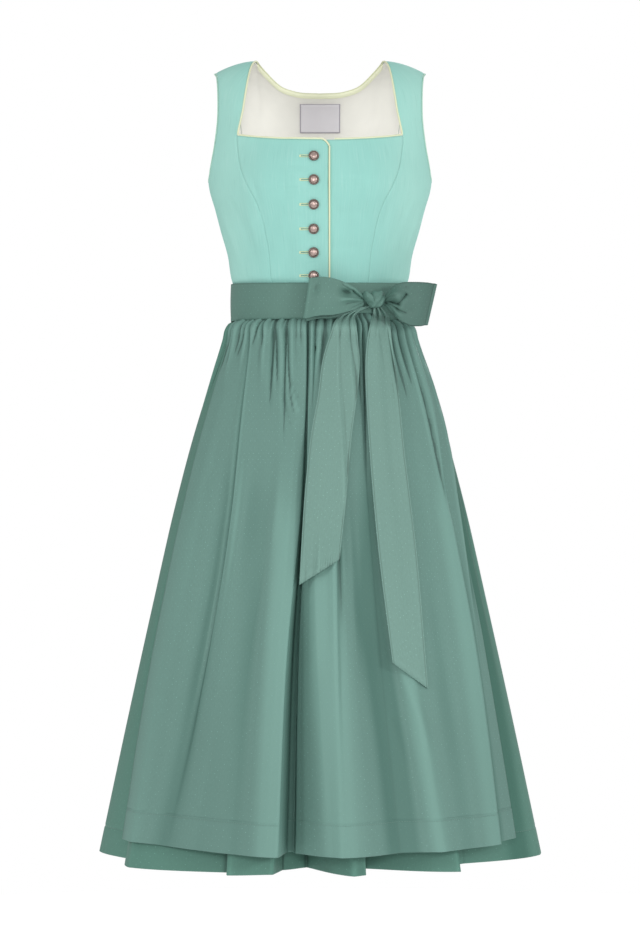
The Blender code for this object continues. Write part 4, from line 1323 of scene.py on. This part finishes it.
# turn, height share, half length in degrees, half height share, depth: soft dents in the band
bandDents = (
    (-40, 0.62, 7, 0.2, -0.0007),
    (-22, 0.4, 9, 0.16, -0.0006),
    (-30, 0.78, 12, 0.12, 0.0005),
    (-58, 0.35, 8, 0.22, -0.0007),
    (-12, 0.66, 7, 0.18, 0.0005),
    (62, 0.5, 9, 0.2, -0.0007),
    (120, 0.55, 12, 0.16, -0.0008),
    (160, 0.35, 10, 0.18, -0.0007),
    (205, 0.65, 14, 0.14, -0.0008),
    (243, 0.4, 9, 0.2, -0.0007),
)


def makeBand():
    for name, node, first in (("apronBand", "apron_band", -90.0), ("apronTie", "apron_tie_back", 90.0)):
        turn = np.linspace(first + 0.1, first + 179.9, band["columns"])[None, :]
        tuck = ease(np.where(turn < 0, -turn - 71, turn - 98) / 14)
        aside = np.sin(np.radians(turn)) ** 2
        inwards = np.maximum(form["bandTuck"] * tuck, band["sideTuck"] * aside)
        upper = placed(turn, form["bandTop"] + band["topRise"] * (1 + aside), form["bandOut"] - inwards)
        flare = form["bandFlare"] - (form["bandTuck"] + form["tuckFlare"]) * tuck
        lower = placed(turn, form["bandBottom"] + knotRise(turn), form["bandOut"] + flare)
        share = np.linspace(0, 1, band["rows"])[:, None]
        out = band["bulge"] * np.sin(math.pi * share) * np.ones_like(turn)
        for at, height, halfLength, halfHeight, depth in bandDents:
            out = out + depth * bell((turn - at) / halfLength, (share - height) / halfHeight)
        points = lower + (upper - lower) * share[..., None] + outward(turn, form["bandTop"]) * out[..., None]
        sewn(clothPiece(name, points, [sageBandShaded], band["wall"]), [node], points)


makeBand()
print("band sewn")


# ---- the bow

# x, front depth, back depth, top, bottom
loopRight = (
    (0.0595, -0.1, -0.095, -0.3325, -0.345),
    (0.049, -0.109, -0.0975, -0.323, -0.3514),
    (0.0365, -0.116, -0.1022, -0.317, -0.3555),
    (0.0205, -0.1225, -0.1055, -0.3114, -0.3596),
    (0.002, -0.1255, -0.1085, -0.3082, -0.3609),
    (-0.014, -0.1205, -0.1115, -0.309, -0.3645),
)
loopLeft = (
    (0.0893, -0.0985, -0.0935, -0.3325, -0.345),
    (0.099, -0.109, -0.094, -0.3213, -0.3548),
    (0.1105, -0.114, -0.0925, -0.3165, -0.3658),
    (0.127, -0.11, -0.088, -0.3155, -0.3728),
    (0.142, -0.101, -0.083, -0.316, -0.3734),
    (0.1494, -0.09, -0.081, -0.3172, -0.3722),
)
# run from the knot (0) to the nose (1), height share, half run, half height share, depth forwards
rightDents = (
    (0.33, 0.71, 0.11, 0.12, -0.0108),
    (0.17, 0.88, 0.16, 0.1, 0.0041),
    (0.24, 0.46, 0.16, 0.06, 0.0035),
    (0.26, 0.24, 0.2, 0.12, -0.0012),
    (0.66, 0.45, 0.22, 0.3, 0.0019),
    (0.9, 0.74, 0.07, 0.16, -0.0027),
)
leftDents = (
    (0.22, 0.66, 0.15, 0.17, 0.0072),
    (0.17, 0.38, 0.1, 0.05, -0.0069),
    (0.26, 0.12, 0.16, 0.08, 0.0033),
    (0.6, 0.36, 0.16, 0.14, -0.0024),
    (0.8, 0.62, 0.14, 0.28, 0.0015),
)
# run and height share at both ends, half width in metres, depth forwards
rightCreases = (
    (0, 0.57, 0.2, 0.82, 0.0018, -0.0067),
    (0.2, 0.82, 0.4, 0.9, 0.0026, -0.0042),
    (0.02, 0.47, 0.4, 0.4, 0.003, 0.003),
    (0.02, 0.38, 0.3, 0.3, 0.0028, -0.0024),
    (0.03, 0.25, 0.22, 0.1, 0.002, -0.0018),
)
leftCreases = (
    (0, 0.6, 0.14, 0.8, 0.0016, -0.0035),
    (0.06, 0.62, 0.24, 0.66, 0.0016, -0.0024),
    (0.43, 0.9, 0.45, 0.7, 0.0034, -0.0012),
    (0.45, 0.7, 0.3, 0.42, 0.0026, -0.0059),
    (0.3, 0.42, 0.04, 0.42, 0.0024, -0.0062),
    (0.04, 0.3, 0.28, 0.25, 0.002, -0.0049),
    (0.28, 0.25, 0.48, 0.25, 0.0024, -0.0032),
    (0.02, 0.22, 0.22, 0.04, 0.0018, -0.0035),
)
bowLoop = {"columns": 96, "across": 53, "noseSteps": 13, "crown": 0.004, "behind": 0.25}


def loopPoints(rows, lean, rise, fall, dents, creases):
    # out from the knot, round the nose and back behind, whose edges show past the front's by rise and fall
    keyed = [(i, *row) for i, row in enumerate(rows)]
    columns, nose = bowLoop["columns"], bowLoop["noseSteps"]
    at = np.linspace(0, len(rows) - 1, columns)
    x, front, back, top, bottom = (eased(keyed, at, c) for c in (1, 2, 3, 4, 5))
    outwards = np.sign(x[-1] - x[0])
    middle, half = (front[-1] + back[-1]) / 2, (back[-1] - front[-1]) / 2
    swing = np.radians(np.linspace(-75, 75, nose))
    turned = np.linspace(0, 1, nose)
    behind = ease((at / at[-1]) / bowLoop["behind"])[::-1]
    runX = np.concatenate([x, x[-1] + outwards * half * np.cos(swing), x[::-1]])
    runY = np.concatenate([front, middle + half * np.sin(swing), back[::-1]])
    runTop = np.concatenate([top, top[-1] + rise * turned, top[::-1] + rise * behind])
    runBottom = np.concatenate([bottom, np.full(nose, bottom[-1]), bottom[::-1] - fall])
    share = np.linspace(0, 1, bowLoop["across"])[:, None]
    tall, length = runTop - runBottom, np.abs(x[-1] - x[0])
    reach = np.abs(runX - x[0]) / length
    onFront = np.concatenate([np.ones(columns), 0.5 + 0.5 * np.cos(turned * math.pi), np.zeros(columns)])
    crown = bowLoop["crown"] * np.sin(math.pi * share) * onFront
    for run, level, halfRun, halfLevel, depth in dents:
        crown = crown + depth * bell((reach - run) / halfRun, (share - level) / halfLevel) * onFront
    for runA, levelA, runB, levelB, half, depth in creases:
        spanX, spanZ = (runB - runA) * length, (levelB - levelA) * tall
        px, pz = (reach - runA) * length, (share - levelA) * tall
        along = np.clip((px * spanX + pz * spanZ) / (spanX**2 + spanZ**2), 0, 1)
        away = np.hypot(px - along * spanX, pz - along * spanZ) / half
        crown = crown + depth * np.exp(-(away**1.3)) * onFront * (1 - 0.4 * along)
    return np.stack([runX + lean * (share - 0.5) * reach, runY - crown, runBottom + tall * share], axis=-1)


# level at the left side, level at the right side, left edge, right edge
tailRight = (
    (-0.348, -0.346, 0.057, 0.07),
    (-0.363, -0.359, 0.025, 0.05),
    (-0.3885, -0.3885, 0.0135, 0.0523),
    (-0.4243, -0.4243, 0.003, 0.0549),
    (-0.4708, -0.4708, -0.0032, 0.0511),
    (-0.53, -0.53, -0.0135, 0.043),
    (-0.6149, -0.6149, -0.0217, 0.0353),
    (-0.724, -0.69, -0.028, 0.0267),
)
tailLeft = (
    (-0.347, -0.347, 0.0745, 0.085),
    (-0.362, -0.362, 0.0725, 0.096),
    (-0.3885, -0.3885, 0.0663, 0.099),
    (-0.4243, -0.4243, 0.0627, 0.1032),
    (-0.4708, -0.4708, 0.0633, 0.1094),
    (-0.548, -0.548, 0.0676, 0.1163),
    (-0.6123, -0.6123, 0.0724, 0.1237),
    (-0.7, -0.7, 0.081, 0.133),
    (-0.827, -0.862, 0.097, 0.1451),
)
# share across from the left, run share of the peak, fade-out run share, half width share, depth
tailRightPleats = (
    (0.16, 0, 0.3, 0.075, 0.003),
    (0.36, 0, 0.42, 0.07, -0.0034),
    (0.55, 0, 0.3, 0.07, 0.0032),
    (0.72, 0, 0.5, 0.065, -0.0034),
    (0.88, 0, 0.3, 0.07, 0.0026),
    (0.45, 0.35, 0.5, 0.16, 0.0012),
    (0.75, 0.55, 0.6, 0.14, -0.001),
)
tailLeftPleats = (
    (0.14, 0, 0.22, 0.085, 0.003),
    (0.34, 0, 0.34, 0.075, -0.0036),
    (0.54, 0, 0.24, 0.08, 0.0034),
    (0.74, 0, 0.3, 0.07, -0.0034),
    (0.9, 0, 0.2, 0.07, 0.0026),
    (0.4, 0.4, 0.6, 0.16, 0.0012),
    (0.62, 0.65, 0.5, 0.13, -0.001),
)
tail = {
    "lift": 0.0024,
    "pleat": 0.0014,
    "rowStep": 0.0045,
    "across": 49,
    "smooth": 3,  # rows to each side
    "hem": 0.0022,
    "hemDip": 0.0006,
}


def tailPoints(rows, pleats):
    keyed = [(i, *row) for i, row in enumerate(rows)]
    length = abs(rows[-1][0] - rows[0][0])
    stations = np.linspace(0, len(rows) - 1, round(length / tail["rowStep"]))
    leftLevel, rightLevel, left, right = (eased(keyed, stations, c)[:, None] for c in (1, 2, 3, 4))
    across = np.linspace(0, 1, tail["across"])[None, :]
    x = left + (right - left) * across
    level = leftLevel + (rightLevel - leftLevel) * across
    turn = turnOf(x, level)
    lift = apronCrest(turn.ravel(), level.ravel()).reshape(turn.shape) + tail["lift"]
    lift = np.maximum(lift, form["bandOut"] + form["bandFlare"] + tail["lift"])
    reach = tail["smooth"]
    padded = np.pad(lift, ((reach, reach), (0, 0)), mode="edge")
    kernel = np.ones(2 * reach + 1) / (2 * reach + 1)
    smooth = np.stack([np.convolve(column, kernel, "valid") for column in padded.T], axis=1)
    lift = np.maximum(smooth, lift * 0.5 + smooth * 0.5)
    turn = np.degrees(np.arcsin(x / (eased(rings, level, 1) + lift)))
    points = placed(turn, level, lift)
    run = (stations / (len(rows) - 1))[:, None]
    fold = tail["pleat"] * np.ones_like(x)
    for share, peak, fade, half, depth in pleats:
        arrive = 1.0 if peak == 0 else ease(run / peak)
        fold = fold + depth * bell((across - share) / half) * arrive * ease(1 - (run - peak) / fade)
    edge = np.minimum(np.abs(x - x[:, :1]), np.abs(x - x[:, -1:]))
    fold = fold - tail["hemDip"] * bell((edge - tail["hem"]) / 0.0010)  # the narrow hem down both sides
    points[..., 1] -= fold
    return points


def makeBow():
    for name, look, *shape in (
        ("Right", sageBandShaded, loopRight, 0.008, -0.0010, 0.0034, rightDents, rightCreases),
        # painted shade: this loop takes the darkest copy of the satin
        ("Left", sageLoopShaded, loopLeft, 0.012, 0.0026, 0.0002, leftDents, leftCreases),
    ):
        points = loopPoints(*shape)
        piece = clothPiece("bowLoop" + name, points, [look])
        sewn(piece, ["bow_loop_" + name.lower()], points)
    for name, *shape in (("Right", tailRight, tailRightPleats), ("Left", tailLeft, tailLeftPleats)):
        points = tailPoints(*shape)
        piece = clothPiece("bowTail" + name, points[::-1], [sageTieSheen])
        sewn(piece, ["bow_tail_" + name.lower()], points)


# each wrap of the knot: middle across, upwards and outwards, half width, radius upwards, radius outwards,
# tilt in degrees, pleats, pleat depth, twist
knotWraps = (
    (0.003, -0.0005, 0, 0.0112, 0.0128, 0.013, -24, 2.3, 0.001, 1.1),
    (-0.0094, 0.0008, 0.0006, 0.005, 0.0096, 0.0112, 14, 1.3, 0.0007, -1.4),
)
knot = {
    "turn": 32.8,
    "level": -0.3378,
    "out": 0.0238,
    "slant": 0.0020,
    "ripple": 0.0004,
    "flat": (0.048, 0.034),
    "area": 0.0013,
}


def makeKnot():  # two wraps of cloth, each a pleated barrel turned about the pinch of the loops
    whole = bmesh.new()
    layer = whole.loops.layers.uv.new("flat")
    for across, up, out, half, high, deep, tilt, pleats, pleatDepth, twist in knotWraps:
        made = bmesh.ops.create_uvsphere(whole, u_segments=72, v_segments=40, radius=1)
        fresh = set(made["verts"])
        for vertex in made["verts"]:
            angle = math.atan2(vertex.co.y, vertex.co.x)
            along = vertex.co.z
            waist = math.sqrt(max(0.0, 1 - abs(along) ** 2.6))
            ripple = pleatDepth * math.cos(math.pi * pleats * along + twist * math.sin(angle)) * waist
            ripple += knot["ripple"] * math.sin(5 * angle + 3 * along) * waist
            vertex.co = (
                along * half + knot["slant"] * twist * math.cos(angle) * waist,
                (high * waist + ripple) * math.cos(angle),
                (deep * waist + ripple) * math.sin(angle),
            )
        for face in whole.faces:
            if face.verts[0] in fresh:
                for loop in face.loops:
                    loop[layer].uv = (loop.vert.co.x, loop.vert.co.y * 1.2)
        seat = Matrix.Translation((across, up, out)) @ Matrix.Rotation(math.radians(tilt), 4, "Z")
        bmesh.ops.transform(whole, matrix=seat, verts=made["verts"])
    bmesh.ops.transform(whole, matrix=facing(knot["turn"], knot["level"], knot["out"]), verts=whole.verts[:])
    bmesh.ops.recalc_face_normals(whole, faces=whole.faces[:])
    piece = linked("bowKnot", whole, [sageBandShaded])
    sewn(piece, ["bow_knot"])


makeBow()
makeKnot()
print("bow tied")


# ---- studio

studio = {
    "distance": 4.5,
    "lookHeight": -0.567,
    "viewTall": 0.0014 * 934,  # metres from the view's bottom to its top
    "sensor": 36.0,
    "floor": -1.42,
    "floorRadius": 2.0,
    "floorTone": 0.90,
    "floorGlow": 0.30,
    "soft": 0.58,  # the world's light on the dress
    "lamps": (  # name, place, aim, size, power
        ("key", (-2.8, -3.0, 0.5), (0, 0, -0.55), 0.7, 27),
        ("fill", (2.9, -2.9, 0.3), (0, 0, -0.6), 0.7, 38),
        ("front", (0.0, -4.3, -0.2), (0, 0, -0.6), 0.5, 37),
        ("high", (0.0, -1.6, 2.4), (0, 0, -0.1), 0.8, 4),
        ("back", (0.6, 2.8, 0.8), (0, 0, -0.5), 1.8, 45),
    ),
}


def makeCamera():
    camera = bpy.data.cameras.new("view")
    camera.sensor_fit = "VERTICAL"
    camera.sensor_height = studio["sensor"]
    camera.lens = studio["sensor"] * studio["distance"] / studio["viewTall"]
    view = bpy.data.objects.new("view", camera)
    view.location = (0, -studio["distance"], studio["lookHeight"])
    view.rotation_euler = (math.radians(90), 0, 0)
    bpy.context.scene.collection.objects.link(view)
    bpy.context.scene.camera = view
    bpy.context.scene.view_settings.view_transform = "Standard"


def makeLamps():
    for name, place, aim, size, power in studio["lamps"]:
        lamp = bpy.data.lights.new(name, "AREA")
        lamp.size = size
        lamp.energy = power
        obj = bpy.data.objects.new(name, lamp)
        obj.location = place
        obj.rotation_euler = (Vector(aim) - Vector(place)).to_track_quat("-Z", "Y").to_euler()
        bpy.context.scene.collection.objects.link(obj)


def makeWorld():  # white to the eye, softer as a light
    world = bpy.data.worlds.new("studio")
    world.use_nodes = True
    nodes, links = world.node_tree.nodes, world.node_tree.links
    light, seen = nodes["Background"], nodes.new("ShaderNodeBackground")
    for background, strength in ((light, studio["soft"]), (seen, 1.0)):
        background.inputs["Color"].default_value = (1, 1, 1, 1)
        background.inputs["Strength"].default_value = strength
    rays = nodes.new("ShaderNodeLightPath")
    either = nodes.new("ShaderNodeMixShader")
    links.new(rays.outputs["Is Camera Ray"], either.inputs[0])
    links.new(light.outputs[0], either.inputs[1])
    links.new(seen.outputs[0], either.inputs[2])
    links.new(either.outputs[0], nodes["World Output"].inputs["Surface"])
    bpy.context.scene.world = world


def makeFloor():
    shape = bmesh.new()
    bmesh.ops.create_circle(shape, cap_ends=True, segments=96, radius=studio["floorRadius"])
    bmesh.ops.translate(shape, verts=shape.verts[:], vec=(0, 0, studio["floor"]))
    pale = Paint("paleFloor", {"Roughness": 0.9})
    tone = (studio["floorTone"],) * 3
    look = pale.finish(Base_Color=tone, Emission_Color=(1, 1, 1), Emission_Strength=studio["floorGlow"])
    linked("floor", shape, [look])


makeCamera()
makeLamps()
makeWorld()
makeFloor()
print("studio ready")

for line in cutList:
    print("cut", *line)
